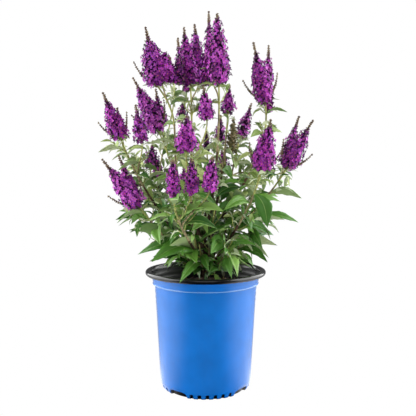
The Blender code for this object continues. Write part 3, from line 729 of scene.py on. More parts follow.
def beads(centres, ways, lengths, widths, finish):
    """Small closed buds or grains, two rings and two points each, drawn out along their ways."""
    first, second = side_axes(ways)
    around = turned(first[:, None], second[:, None], ring_angles(BEAD_COLUMNS))
    along = ways * lengths[:, None]
    wide = widths[:, None, None]
    rings = np.stack([
        (centres + place * along)[:, None] + radius * wide * around
        for place, radius in BEAD_RINGS], 1)
    return closed_skins(rings, centres - 0.5 * along, centres + 0.5 * along, finish, (finish, finish))


# Growth, by the rule of the solids.


def toward(bearing, elevation):
    """The unit vector at a bearing from +X and an elevation, both in degrees."""
    b, e = math.radians(bearing), math.radians(elevation)
    return Vector((math.cos(b) * math.cos(e), math.sin(b) * math.cos(e), math.sin(e)))


def point_at(bearing, reach, height):
    return (reach * toward(bearing, 0) + Vector((0, 0, height))) * MM


def curve_weights(t):
    """The weights, at a share t of a curve, of its start, its first way, its end and its last way."""
    return 2 * t ** 3 - 3 * t ** 2 + 1, t ** 3 - 2 * t ** 2 + t, 3 * t ** 2 - 2 * t ** 3, t ** 3 - t ** 2


def bend(start, start_way, end, end_way, count):
    """Points on the smooth curve that leaves start one way and comes to end another."""
    span = (end - start).length
    points = []
    for i in range(count):
        at_start, along_start, at_end, along_end = curve_weights(i / (count - 1))
        points.append(
            at_start * start + along_start * span * start_way
            + at_end * end + along_end * span * end_way)
    return points


def lengths_along(path):
    sums = [0.0]
    for a, b in zip(path, path[1:]):
        sums.append(sums[-1] + (b - a).length)
    return sums


def at_length(path, sums, wanted):
    """The point and the direction at a length along a path."""
    wanted = min(max(wanted, 0.0), sums[-1])
    i = max(1, next(k for k, s in enumerate(sums) if s >= wanted - TINY))
    a, b = path[i - 1], path[i]
    share = (wanted - sums[i - 1]) / (sums[i] - sums[i - 1])
    return a.lerp(b, share), (b - a).normalized()


def trunk_at(share):
    height = SOIL_TOP + GAP + share * TRUNK_HEIGHT
    return Vector((0, 0, height)) + TRUNK_LEAN * share ** TRUNK_CURVE


def head_foot(head):
    return point_at(head.bearing, head.reach, head.height)


def head_way(head):
    return toward(head.lean_bearing, 90 - head.lean)


# owner is the mass that holds the limb, and start is how far along the path its solid begins.
Limb = namedtuple("Limb", "owner path sums start radii wood")


def shoot_limbs(shoot):
    """The way to the first head, and a branch to each further one."""
    start = trunk_at(shoot.leaves_trunk) + BOUGH_OFFSET * toward(shoot.bearing, 0)
    first = shoot.heads[0]
    way = toward(shoot.bearing, shoot.rises)
    path = bend(start, way, head_foot(first), head_way(first), PATH_POINTS)
    sums = lengths_along(path)
    stem_start = BOUGH_SHARE * sums[-1] + GAP
    limbs = [Limb(shoot.name, path, sums, stem_start, (BOUGH_TIP_RADIUS, STEM_TOP_RADIUS), shoot.wood)]
    for i, head in enumerate(shoot.heads[1:]):
        fork = stem_start + (shoot.fork - FORK_STEP * i) * (sums[-1] - stem_start)
        where, way = at_length(path, sums, fork)
        branch = bend(where, way, head_foot(head), head_way(head), PATH_POINTS)
        branch_sums = lengths_along(branch)
        limbs.append(Limb(shoot.name, branch, branch_sums, 0.0, (TWIG_RADIUS, TWIG_TOP_RADIUS), 0.0))
    return limbs


def leafy_limb(shoot):
    """One stem from the trunk. It starts where the three foot corners of its own solid lie."""
    path = bend(
        trunk_at(shoot.leaves_trunk), toward(shoot.bearing, LEAFY_RISES),
        point_at(shoot.bearing, shoot.reach, shoot.height), toward(shoot.bearing, LEAFY_ENDS),
        PATH_POINTS)
    sums = lengths_along(path)
    places = np.arange(0, *FOOT_SEARCH)
    line = np.array([at_length(path, sums, place)[0] for place in places])
    apart = np.linalg.norm(corners_of("mass_" + shoot.name)[:, None] - line, axis=2)
    on_stem = places[apart.argmin(1)][apart.min(1) < FOOT_ROOM * LEAFY_RADIUS]
    start = float(np.sort(on_stem)[:FOOT_CORNERS].mean())
    return Limb(shoot.name, path, sums, start, (LEAFY_RADIUS, TWIG_TOP_RADIUS), LEAFY_WOOD)


def corners_of(node):
    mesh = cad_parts[node].data
    points = np.empty(3 * len(mesh.vertices), np.float32)
    mesh.vertices.foreach_get("co", points)
    return points.reshape(-1, 3).astype(float)


def by_height(height, low, high):
    """A size that goes from its low value to its high one up the plant."""
    share = float(share_between(height, LEAF_LOW_HEIGHT, LEAF_HIGH_HEIGHT))
    return low + (high - low) * share ** LEAF_CURVE


def leaf_tip(point, way, turn, length, droop):
    across = way.cross(Vector(ASLANT)).normalized()
    out = Matrix.Rotation(turn, 3, way) @ across
    flat = Vector((out.x, out.y, 0)) + LEAF_FORWARD * Vector((way.x, way.y, 0))
    heading = flat.normalized() * math.cos(droop) + Vector((0, 0, math.sin(droop)))
    return point + length * heading


# spray numbers the pair that a leaf belongs to, or its twig, and is 0 for a leaf that was placed one
# by one. A node is a place where a pair leaves a stem.
Leaf = namedtuple("Leaf", "root tip width roll spray")
Node = namedtuple("Node", "limb place point way quarter")


@lru_cache(maxsize=None)
def grown():
    """Limbs, leaves and nodes by the rule and the draws of the solids.

    A leaf is kept where its mass has a corner at its tip, so these are the leaves of the solids.
    """
    rng = np.random.default_rng(SEED)
    limbs = [limb for shoot in SHOOTS for limb in shoot_limbs(shoot)]
    limbs += [leafy_limb(shoot) for shoot in LEAFY_SHOOTS]
    trees = {}
    for owner in {limb.owner for limb in limbs}:
        points = corners_of("mass_" + owner)
        trees[owner] = KDTree(len(points))
        for i, point in enumerate(points):
            trees[owner].insert(point, i)
        trees[owner].balance()
    leaves = []
    nodes = []
    for number, limb in enumerate(limbs):
        quarter = rng.uniform(0, math.pi)
        place = limb.start + LEAF_START
        while place < limb.sums[-1] - LEAF_START:
            point, way = at_length(limb.path, limb.sums, place)
            nodes.append(Node(number, place, point, way, quarter))
            for half in range(2):
                turn = quarter + half * math.pi + rng.uniform(-LEAF_SWING, LEAF_SWING)
                length = by_height(point.z, LEAF_LOW, LEAF_HIGH) * rng.uniform(*LEAF_SIZES)
                droop = rng.uniform(*LEAF_DROOP)
                roll = rng.uniform(-LEAF_ROLL, LEAF_ROLL)
                for share, swing in LEAF_TRIES:
                    tip = leaf_tip(point, way, turn + swing, share * length, droop)
                    if trees[limb.owner].find(tip)[2] < TIP_MATCH:
                        width = LEAF_WIDTH_SHARE * share * length
                        leaves.append(Leaf(point, tip, width, roll, len(nodes)))
                        break
            quarter += math.pi / 2
            spacing = by_height(point.z, LEAF_SPACING_LOW, LEAF_SPACING_HIGH)
            place += spacing * rng.uniform(*SPACINGS)
    for shown in SHOWN_LEAVES:
        path = next(limb.path for limb in limbs if limb.owner == shown.shoot)
        root = next(p for p in path if p.z >= shown.height * MM)
        tip = point_at(shown.bearing, shown.reach, shown.tip_height)
        leaves.append(Leaf(root, tip, shown.width * MM, SHOWN_ROLL, 0))
    return bowed(limbs, leaves, nodes)


def bow_at(point):
    """How far the bowed shoot stands aside at a point's height: sin(pi s^2) of the full bow."""
    return BOW * math.sin(math.pi * share_between(point.z, *BOW_HEIGHTS) ** 2)


def bowed(limbs, leaves, nodes):
    """The growth with one shoot bowed aside, so that the head behind it shows whole."""
    aside = {number for number, limb in enumerate(limbs) if limb.owner == BOWED_SHOOT}
    limbs = [
        limb._replace(path=[p + bow_at(p) for p in limb.path]) if number in aside else limb
        for number, limb in enumerate(limbs)]
    is_aside = [False] + [node.limb in aside for node in nodes]
    leaves = [
        leaf._replace(root=leaf.root + bow_at(leaf.root), tip=leaf.tip + bow_at(leaf.root))
        if is_aside[leaf.spray] else leaf for leaf in leaves]
    nodes = [
        node._replace(point=node.point + bow_at(node.point)) if node.limb in aside else node
        for node in nodes]
    return limbs, leaves, nodes


def all_heads():
    return [head for shoot in SHOOTS for head in shoot.heads]


def head_radius(head, shares):
    """The radius of a head's outline at shares of its length."""
    outline = np.interp(shares, HEAD_OUTLINE[:, 0], HEAD_OUTLINE[:, 1])
    outline = outline + head.full * np.interp(shares, FULLER_SHARES, FULLER)
    return outline * head.width * MM / 2


def in_heads(points, room):
    """Whether each point lies within room of a flower head."""
    inside = np.zeros(points.shape[:-1], bool)
    for head in all_heads():
        way = np.array(head_way(head))
        apart = points - np.array(head_foot(head))
        along = apart @ way
        aside = np.linalg.norm(apart - along[..., None] * way, axis=-1)
        shares = along / (head.length * MM)
        near = (shares > HEAD_ENDS[0]) & (shares < HEAD_ENDS[1])
        inside |= near & (aside < head_radius(head, shares) + room)
    return inside


def in_reach(points):
    """Whether each point keeps within the box of the solids and over the mix."""
    low, high = np.array(SOLIDS_BOX[0]), np.array(SOLIDS_BOX[1])
    inside = ((points > low + MM) & (points < high - MM)).all(axis=-1)
    return inside & (points[..., 2] > SOIL_TOP + MIX_CLEARANCE)


def seen_in_photo(points):
    """Where points lie in the picture, as slopes from the camera, and how deep."""
    apart = points - np.array([CAMERA_ASIDE, -CAMERA_DISTANCE, CAMERA_HEIGHT])
    return apart[..., [0, 2]] / apart[..., 1:2], apart[..., 1]


def before_stems(points):
    """Whether each point lies, in the photo's view, in front of a stem that the photo shows."""
    spots, depths = seen_in_photo(points)
    hidden = np.zeros(len(points), bool)
    for limb in grown()[0]:
        if limb.owner in SHOWN_STEMS:
            path = np.array(limb.path)
            path = path[(path[:, 2] > STEMS_SHOW[0]) & (path[:, 2] < STEMS_SHOW[1])]
            if len(path):
                line, far = seen_in_photo(path)
                apart = np.linalg.norm(spots[:, None] - line, axis=2)
                close = apart.min(1) < STEM_ROOM / CAMERA_DISTANCE
                hidden |= close & (depths < far[apart.argmin(1)])
    return hidden


def before_heads(points):
    """Whether each point lies, in the photo's view, in front of a flower head."""
    spots, depths = seen_in_photo(points)
    hidden = np.zeros(len(points), bool)
    for head in (*all_heads(), *FILLERS):
        foot, way = np.array(head_foot(head)), np.array(head_way(head))
        (low, high), (near, _) = seen_in_photo(np.stack([foot, foot + way * head.length * MM]))
        axis = high - low
        shares = (spots - low) @ axis / (axis @ axis)
        aside = np.linalg.norm(spots - low - shares[:, None] * axis, axis=1)
        over = (shares > HEAD_SHOWS[0]) & (shares < HEAD_SHOWS[1]) & (depths < near)
        hidden |= over & (aside < HEAD_SHOWS_ACROSS * head_radius(head, shares) / near)
    return hidden


def curves(starts, start_ways, ends, end_ways, stations):
    """The curve of bend for many pairs of ends at once, as shapes x stations x 3."""
    at_start, along_start, at_end, along_end = curve_weights(np.linspace(0, 1, stations)[None, :, None])
    span = np.linalg.norm(ends - starts, axis=1)[:, None, None]
    return (
        at_start * starts[:, None] + along_start * span * start_ways[:, None]
        + at_end * ends[:, None] + along_end * span * end_ways[:, None])


# Up the plant, from the lower of two heights to the upper, a twig's chance and its length fall.
TWIG_STATIONS = 7
TWIG_HEIGHTS = (300 * MM, 600 * MM)
TWIG_CHANCE, TWIG_CHANCE_FALL = 1.1, 0.4
TWIG_LENGTHS = (22 * MM, 44 * MM)
TWIG_LENGTH_FALL = 0.45
TWIG_SWING = 0.4
TWIG_FORWARD = 0.7
TWIG_END_OUT = 0.5
TWIG_END_RISE = np.array([0, 0, 0.5])
TWIG_HEAD_ROOM = 4 * MM

# Small leaves grow longer from the upper of two heights to the lower, and shorter along a twig.
SPRIG_LEAF = (19 * MM, 36 * MM)
SPRIG_HEIGHTS = (520 * MM, 270 * MM)
SPRIG_SIZE, SPRIG_GROWTH = 0.8, 0.35
SPRIG_FIRST, SPRIG_FALL = 1.12, 0.3
SPRIG_SWING = 0.3
SPRIG_RISES = (-0.1, 0.9)
SPRIG_WIDTHS = (0.26, 0.36)
SPRIG_ROLL = 0.9
PAIR_SHARES = (0.40, 0.72, 1.0)


def twigs_from(nodes, side_twigs, rng):
    """Paths of the side twigs. Each leaves its stem over a leaf and curves up."""
    points = np.array([node.point for node in nodes])
    ways = np.array([node.way for node in nodes])
    quarters = np.array([node.quarter for node in nodes])
    across = unit(np.cross(ways, ASLANT))
    upward = share_between(points[:, 2], *TWIG_HEIGHTS)
    twigs = []
    for half in range(2):
        chance = side_twigs * (TWIG_CHANCE - TWIG_CHANCE_FALL * upward)
        chosen = rng.uniform(size=len(nodes)) < chance
        turn = quarters + half * np.pi + rng.uniform(-TWIG_SWING, TWIG_SWING, len(nodes))
        out = turned(across, np.cross(ways, across), turn)
        start_ways = unit(out + TWIG_FORWARD * ways)
        lengths = rng.uniform(*TWIG_LENGTHS, len(nodes)) * (1 - TWIG_LENGTH_FALL * upward)
        end_ways = unit(TWIG_END_OUT * out + ways + TWIG_END_RISE)
        ends = points + unit(start_ways + end_ways) * lengths[:, None]
        kept = chosen & in_reach(ends) & ~in_heads(ends, TWIG_HEAD_ROOM)
        twigs.append(curves(points, start_ways, ends, end_ways, TWIG_STATIONS)[kept])
    return np.concatenate(twigs)


def leaves_on(twigs, first_spray, rng):
    """Roots, tips, widths, rolls and sprays of the small leaves, in pairs up the twigs."""
    count = len(twigs)
    spin = rng.uniform(0, np.pi, count)
    leaves = []
    for pair, share in enumerate(PAIR_SHARES):
        at = share * (TWIG_STATIONS - 1)
        below = min(int(at), TWIG_STATIONS - 2)
        step = twigs[:, below + 1] - twigs[:, below]
        roots = twigs[:, below] + (at - below) * step
        way = unit(step)
        longer = SPRIG_SIZE + SPRIG_GROWTH * share_between(roots[:, 2], *SPRIG_HEIGHTS)
        longer = longer * (SPRIG_FIRST - SPRIG_FALL * share)
        for half in range(2):
            turn = spin + (pair / 2 + half) * np.pi + rng.uniform(-SPRIG_SWING, SPRIG_SWING, count)
            out = turned(*side_axes(way), turn)
            heading = unit(out + rng.uniform(*SPRIG_RISES, count)[:, None] * way)
            length = rng.uniform(*SPRIG_LEAF, count) * longer
            tips = roots + heading * length[:, None]
            middles = (roots + tips) / 2
            kept = in_reach(tips) & ~in_heads(tips, MM)
            kept = kept & ~before_heads(middles) & ~before_stems(middles)
            widths = length * rng.uniform(*SPRIG_WIDTHS, count)
            rolls = rng.uniform(-SPRIG_ROLL, SPRIG_ROLL, count)
            sprays = np.arange(count) + first_spray
            leaves.append([part[kept] for part in (roots, tips, widths, rolls, sprays)])
    return [np.concatenate(parts) for parts in zip(*leaves)]


@lru_cache(maxsize=None)
def finer_growth(seed, side_twigs):
    """Side twigs in the leaf axils and the small leaf pairs that they carry.

    Every second pair is turned a quarter. A twig is left out where its end would come into a head,
    and a leaf where its tip would, or where it would hide a head or a stem that the photo shows.
    """
    rng = np.random.default_rng(seed)
    nodes = grown()[2]
    twigs = twigs_from(nodes, side_twigs, rng)
    return twigs, leaves_on(twigs, len(nodes), rng)


# Leaf blades: share of the length at each station, and the columns across as shares of the half
# width, with the keel below as the last one. A column's kind is 0 upper side, 1 midrib, 2 under,
# 3 margin. unders are the tints that its undersides may have, and prefix starts its finishes' names.
Blade = namedtuple("Blade", "prefix stations across kinds unders")
LARGE_BLADE = Blade(
    "blade",
    np.array([0.03, 0.1, 0.18, 0.26, 0.34, 0.42, 0.5, 0.58, 0.66, 0.75, 0.85, 0.94]),
    np.array([-1.0, -0.9, -0.48, -0.045, 0.045, 0.48, 0.9, 1.0, 0.0]),
    np.array([3, 0, 0, 1, 0, 0, 3, 2, 2]), (1, 2, 3))
SMALL_BLADE = Blade(
    "sprig",
    np.array([0.05, 0.22, 0.42, 0.64, 0.86]), np.array([-1.0, -0.06, 0.06, 1.0, 0.0]),
    np.array([0, 1, 0, 2, 2]), (0, 0, 1, 2))

# How blades differ: the rise of the arch, the swing sideways, the twist in radians, the fold and the
# sharpness of the tip. Then the widest place, and where the margin and the bulges start.
BLADE_RISES = (0.8, 1.6)
BLADE_SWING = 0.035
BLADE_TWIST = 0.4
BLADE_FOLDS = (0.12, 0.42)
BLADE_SHARPNESS = (0.85, 1.2)
BLADE_WIDEST = 0.42
MARGIN_FROM = 0.9
BULGE_FROM = 0.3
KEEL_DEPTH = 0.25 * MM
LEAF_BREADTH = 1.1
LEAST_ROLL = 0.2

# Shares of the half width: the margin's waves and dips, with their turns in radians over the length,
# the bulges and how they differ in turn, what the keel adds, and how far the veins slope forward.
MARGIN_WAVES, WAVE_TURNS = 0.05, 26
MARGIN_DIPS, DIP_TURNS = 0.10, 19
BULGE, BULGE_CHANGE = 0.11, 0.10
KEEL_SHARE = 0.10
VEIN_SLOPE = 0.22

# Leaves have the tints of the plant's upper part over this height, give or take, and this share of
# the margins is as pale as the rib.
PALE_HEIGHT = 395 * MM
PALE_SPREAD = 78 * MM
PALE_MARGINS = 0.2


def blades(roots, tips, widths, rolls, finish, blade, rng):
    """Leaf blades as closed skins.

    The spine runs from root to tip and arches by sin(pi s^0.8), with a slow sideways swing, and the
    half width follows the same curve, sharpened past its widest place. The cross-section folds up
    from the midrib, its halves bulge between the side veins in turn, it twists along the blade, and
    its margin waves and dips. finish is leaves x 4: upper side, rib, under, margin.
    """
    def each(values):
        return values[:, None, None]

    count = len(roots)
    length = each(np.linalg.norm(tips - roots, axis=1))
    heading = unit(tips - roots)
    level = unit(np.cross(heading, np.array([0, 0, 1.0])))
    up = np.cross(level, heading)
    s = blade.stations[None, :, None]
    c = blade.across[None, None, :]
    rise = each(LEAF_RISE_SHARE * rng.uniform(*BLADE_RISES, count))
    swing = each(rng.normal(0, BLADE_SWING, count))
    twist = each(rng.normal(0, BLADE_TWIST, count))
    fold = each(rng.uniform(*BLADE_FOLDS, count))
    wave = each(rng.uniform(0, 2 * np.pi, count))
    sharp = each(rng.uniform(*BLADE_SHARPNESS, count))
    roll = each(rolls) + twist * (s - BLADE_WIDEST)
    arch = np.sin(np.pi * s ** 0.8)
    half = 0.5 * each(widths) * np.where(s < BLADE_WIDEST, arch, arch ** sharp)
    edge = np.abs(c) > MARGIN_FROM
    half = half * (1 + MARGIN_WAVES * edge * np.sin(WAVE_TURNS * s + wave + 2 * c))
    quilt = np.where(np.arange(len(blade.stations)) % 2 == 0, 1.0, -1.0)[None, :, None]
    bulge = ((np.abs(c) > BULGE_FROM) & ~edge) * (BULGE + BULGE_CHANGE * quilt)
    dip = MARGIN_DIPS * edge * (1 + np.sin(DIP_TURNS * s + wave))
    height = half * (fold * np.abs(c) + bulge - dip)
    keel = np.arange(len(blade.across)) == len(blade.across) - 1
    height = height - keel * (KEEL_DEPTH + KEEL_SHARE * half)
    spine = (
        each(roots) + (s * length)[..., None] * each(heading)
        + (rise * length * arch)[..., None] * each(up)
        + (swing * length * np.sin(np.pi * s))[..., None] * each(level))
    side = np.cos(roll)[..., None] * each(level) - np.sin(roll)[..., None] * each(up)
    normal = np.cross(side, each(heading))
    points = (
        spine + (c * half)[..., None] * side + height[..., None] * normal
        + (VEIN_SLOPE * half * np.abs(c))[..., None] * each(heading))
    rim = np.tile(np.abs(blade.across) > MARGIN_FROM, len(blade.stations))
    bands = finish[:, blade.kinds][:, None, :]
    return closed_skins(
        points, roots, tips, bands, (finish[:, 1], finish[:, 0]), np.append(rim, [False, True]))


def facing(ways, roots, tips, rolls, share, rng):
    """Rolls with their signs set so that a share of the upper sides tilt the way given."""
    level = np.cross(tips - roots, np.array([0, 0, 1.0]))
    along = (ways * level)[:, :2].sum(1)
    sign = np.where(along < 0, -1, 1) * np.where(rng.uniform(size=len(rolls)) < share, 1, -1)
    return (np.abs(rolls) + LEAST_ROLL) * sign


def leaf_finishes(prefix):
    """Upper sides low and then high on the plant, undersides, and midribs low and high."""
    return (
        plain_finishes(prefix + "_low", LEAF_LOW_TINTS, 0.42, specular=0.45)
        + plain_finishes(prefix + "_high", LEAF_HIGH_TINTS, 0.5, specular=0.4)
        + plain_finishes(prefix + "_under", UNDER_TINTS, 0.8, specular=0.25, sheen=0.3)
        + plain_finishes(prefix + "_rib", RIB_TINTS, 0.5, specular=0.4))


def dealt_tints(heights, sprays, unders, rng):
    """Four finish numbers for each leaf, by its spray and its height on the plant."""
    count = len(heights)
    low, high = len(LEAF_LOW_TINTS), len(LEAF_HIGH_TINTS)
    is_high = heights + rng.uniform(-PALE_SPREAD, PALE_SPREAD, count) > PALE_HEIGHT
    turn = (sprays * 7 + rng.integers(0, 2, count)) % low
    upper = np.where(is_high, low + turn, turn)
    under = low + high + rng.choice(unders, count)
    rib = low + high + len(UNDER_TINTS) + is_high
    margin = np.where(rng.uniform(size=count) < PALE_MARGINS, rib, upper)
    return np.stack([upper, rib, under, margin], 1)


# Operators.


FOOT_ROWS = 10
WALL_ROWS = 34
LIP_TURNS = np.radians(np.linspace(-64, 84, 11))


def pot_section():
    """Radius and height from near the base's middle, up the outside, over the lip and down inside."""
    points = [(25, 0), (50, 0), (66, 0), (76, 0), (82, 0), (83.3, 0.7), (84.4, 1.8), (85.3, 3.0)]
    points += [(86.2 + 2.3 * s, 4.2 + 7.8 * s) for s in np.arange(FOOT_ROWS + 1) / FOOT_ROWS]
    points += [(88.5 + 10.9 * s, 12 + 188.5 * s) for s in np.arange(1, WALL_ROWS + 1) / WALL_ROWS]
    points += [(99.6, 202.0), (99.9, 202.6), (100.9, 202.9), (102.0, 203.1), (102.9, 203.5)]
    points += [(103.5, 204.1), (103.7, 204.8), (103.5, 205.5), (103.1, 206.1), (103.0, 206.6)]
    points += [(103.2, 208), (103.9, 212), (104.1, 213.4), (104.5, 214.1), (104.7, 216)]
    points += [(105.3, 219.4), (105.7, 220.4), (107.5, 220.9), (111, 221), (114, 221)]
    points += [(112.9 + 4.6 * math.cos(a), 225.4 + 4.6 * math.sin(a)) for a in LIP_TURNS]
    points += [(110.8, 229.95), (109.0, 229.6), (107.4, 228.8), (106.3, 227.4), (105.7, 225.4)]
    points += [(105.2, 221.4), (104.4, 217), (103.6, 214.2), (102.6, 213.5), (102.2, 212.6)]
    points += [(101.4, 208.5), (100.8, 205.6), (99.9, 204.6), (98.5, 204.0), (97.7, 202.8)]
    points += [(97.2, 195), (86.5, 19), (75, 3), (30, 3)]
    return np.array(points) * MM


POT_COLUMNS = 576

# A recess: shares of its height, its half width there as a share, and how soft its edge is.
RECESS_SHARES = (0, 0.6, 0.85, 1.0)
RECESS_WIDTHS = (1.0, 1.0, 0.85, 0.55)
RECESS_SOFTNESS = (-0.25 * MM, 0.55 * MM)

# Dimples: where they fade in over the foot, where they grow toward the band and fade out under it,
# then their share of random and of even waves, and how fast these turn.
DIMPLES_START = (16 * MM, 40 * MM)
DIMPLES_GROW = (BAND_FOOT - 60 * MM, BAND_FOOT - 12 * MM)
DIMPLES_END = (BAND_FOOT - 10 * MM, BAND_FOOT - 2 * MM)
RANDOM_SHARE, EVEN_SHARE = 0.6, 0.7
RANDOM_WAVES, EVEN_WAVES, EVEN_SLANT = 45, 14, 550


def recess_mask(angle, height, middle, half_width, top):
    """From 0 outside a recess to 1 inside it. Its sides stand straight and its upper corners slant."""
    turn = (angle - middle + np.pi) % (2 * np.pi) - np.pi
    half = np.interp(height / top, RECESS_SHARES, RECESS_WIDTHS) * half_width
    inside = np.minimum(half - np.abs(turn) * WALL_FOOT_RADIUS, top - height)
    return smooth_step(inside, *RECESS_SOFTNESS)


def recess_masks(angle, height):
    """The masks of the drain arches and of the notches, which stand in groups between them."""
    arches, notches = np.zeros(height.shape), np.zeros(height.shape)
    half_arch = WALL_FOOT_RADIUS * math.sin(ARCH_SPAN / 2)
    for quarter in range(QUARTERS):
        middle = PATTERN_TURN + quarter * math.pi / 2
        arch = recess_mask(angle, height, middle + math.pi / 4, half_arch, ARCH_HEIGHT)
        arches = np.maximum(arches, arch)
        for n in range(NOTCHES):
            turn = middle + (n - (NOTCHES - 1) / 2) * NOTCH_PITCH
            notch = recess_mask(angle, height, turn, NOTCH_HALF_WIDTH, NOTCH_HEIGHT)
            notches = np.maximum(notches, notch)
    return arches, notches


def placed(angle, radius, height):
    """Points at angles from the front, turning to the right."""
    return np.stack([np.sin(angle) * radius, -np.cos(angle) * radius, height], -1)


def dimples(angle, radius, height, outer):
    """The wall's waves, about -1 to 1: slow random ones, and near the band even ones that slant."""
    on_wall = outer * smooth_step(height, *DIMPLES_START) * (1 - smooth_step(height, *DIMPLES_END))
    around = placed(angle, radius, np.broadcast_to(0.5 * height, (len(height), POT_COLUMNS)))
    even = smooth_step(height, *DIMPLES_GROW) * np.sin(EVEN_WAVES * angle - EVEN_SLANT * height)
    return on_wall * (RANDOM_SHARE * wobble(around, RANDOM_WAVES, 3) + EVEN_SHARE * even)


# The pot's materials, in the order of their numbers: colour and the shares of it that are light and
# dark, scales, roughness, strength of the bumps, specular and coat. The last one, on the band's bead, is
# the blue lightened toward a pale glint: a painted highlight.
WALL, LIP, LINING, BEAD_HIGHLIGHT = range(4)
POT_FINISHES = {
    "moulded_blue": ("body", (1.06, 0.9), (22, 520), (0.18, 0.26), 0.04, 0.3, 0.4),
    "moulded_black": ("lip", (1.5, 1.0), (60, 600), (0.14, 0.22), 0.04, 0.5, 0.0),
    "moulded_lining": ("lip", (1.5, 1.0), (60, 600), (0.3, 0.42), 0.05, 0.2, 0.0),
    "moulded_edge": ("edge", (1.0, 0.9), (22, 520), (0.18, 0.26), 0.04, 0.5, 0.0)}
POT_GRAIN = 0.15 * MM
# A pale blue mixed into the bead's colour: a painted highlight along the foot of the band.
EDGE_GLINT = (0.5, 0.8, 1.0)
EDGE_GLINT_SHARE = 0.25
# Faces at least this far into a recess take the lining's black, as painted shade.
IN_RECESS = 0.9


def pot_finishes(settings):
    body, lip = tuple(settings.body), tuple(settings.lip)
    colours = {"body": body, "lip": lip, "edge": blended(body, EDGE_GLINT, EDGE_GLINT_SHARE)}
    finishes = []
    for name, (colour, shares, scales, roughness, bump, specular, coat) in POT_FINISHES.items():
        tones = [shaded(colours[colour], share) for share in shares]
        finishes.append(patterned_finish(
            name, "Weathered", tones, scales, roughness, (bump, POT_GRAIN), specular, coat))
    paint_recess_shade(finishes[WALL], lip)
    return finishes


def pot_bands(radius, height, outer, recessed):
    """The material of each face, by its row's upper points and by how far it lies in a recess."""
    share = (recessed[1:] + recessed[:-1]) / 2
    share = (share + np.roll(share, -1, axis=1)) / 2
    radius, height = radius[1:], height[1:]
    is_wall = (
        outer[1:] & outer[:-1] & (height < BAND_FOOT + BAND_DEPTH)
        & (radius > BASE_RADIUS + 0.5 * MM))
    # Wall faces deep in a recess take the lining's black finish: painted shade.
    bands = np.where(is_wall, np.where(share < IN_RECESS, WALL, LINING), LIP)
    # The bead round the band's foot takes the lighter finish, a painted highlight.
    bands = np.where(outer[1:] & (np.abs(height - BAND_BEAD) < MM), BEAD_HIGHLIGHT, bands)
    return np.where(~outer[1:] & (height < POT_HEIGHT - LIP_DEPTH), LINING, bands)


class MakePot(bpy.types.Operator):
    """Turn the pot's section, let the drain arches and notches into its foot, and dimple its wall"""

    bl_idname = "bush.make_pot"
    bl_label = "Pot"

    def execute(self, context):
        settings = context.scene.bush_pot
        section = pot_section()
        radius, height = section[:, 0, None], section[:, 1, None]
        angle = ring_angles(POT_COLUMNS)[None] + PATTERN_TURN
        outer = np.arange(len(section))[:, None] < int(np.argmax(section[:, 1]))
        tall = np.broadcast_to(height, (len(section), POT_COLUMNS))
        arches, notches = recess_masks(angle, tall)
        in_foot = outer & (radius > BASE_RADIUS - 5 * MM) & (height < WALL_FOOT_HEIGHT)
        slope = (WALL_FOOT_RADIUS - BASE_RADIUS) / WALL_FOOT_HEIGHT
        cut = np.broadcast_to(radius, tall.shape)
        for mask, depth in ((notches, NOTCH_DEPTH), (arches, ARCH_DEPTH)):
            floor = BASE_RADIUS - depth + slope * height
            cut = np.where(in_foot, cut + mask * np.minimum(floor - cut, 0), cut)
        cut = cut + settings.dimple * dimples(angle, radius, height, outer)
        bands = pot_bands(radius, height, outer, np.maximum(arches, notches))
        skin = closed_skins(
            placed(angle, cut, tall)[None], np.zeros((1, 3)), np.array([[0, 0, FLOOR]]), bands[None],
            (LIP, LINING))
        pot = made_mesh("moulded_pot", skin, pot_finishes(settings))
        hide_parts("pot")
        return {"FINISHED"}


MIX_ROWS = 60
MIX_COLUMNS = 220
MIX_SIDE_GAP = 0.2 * MM
MIX_FOOT_RADIUS = 75 * MM
MIX_SHOULDER = (8 * MM, 60 * MM)
MIX_MIDDLE = 3 * MM

# The bed's roughness: height in millimetres, radians in a metre and seed of each set of waves. Then
# how far it sinks on the whole, and toward the wall, from how far off.
MIX_WAVES = ((1.5, 260, 11), (1.1, 700, 12), (0.8, 1500, 13))
MIX_SINKS = 0.6
MIX_SINKS_AT_WALL, MIX_WALL_REACH = 4, 7 * MM

# Chips lie on the bed, and the last kind are grains. Their lengths and lifts are in millimetres, and
# their widths are shares of the length.
CHIP_SEED = 5
CHIP_COUNT = 620
CHIP_ROOM = 4 * MM
CHIPS_LIE = (1, 1, 0.35)
MIX_TINTS = {
    "damp_mix": (34, 26, 20), "brown_chip": (74, 52, 36), "dark_chip": (40, 30, 24),
    "red_chip": (98, 66, 44), "white_grain": (204, 200, 190)}
CHIP_KINDS = (1, 2, 3, 4)
CHIP_CHANCES = (0.4, 0.3, 0.2, 0.1)
CHIP_LENGTHS = (3, 10)
CHIP_WIDTHS = (0.25, 0.6)
CHIP_LIFTS = (-0.8, 0.9)
GRAIN_LENGTH, GRAIN_WIDTH = 3.2, 0.9


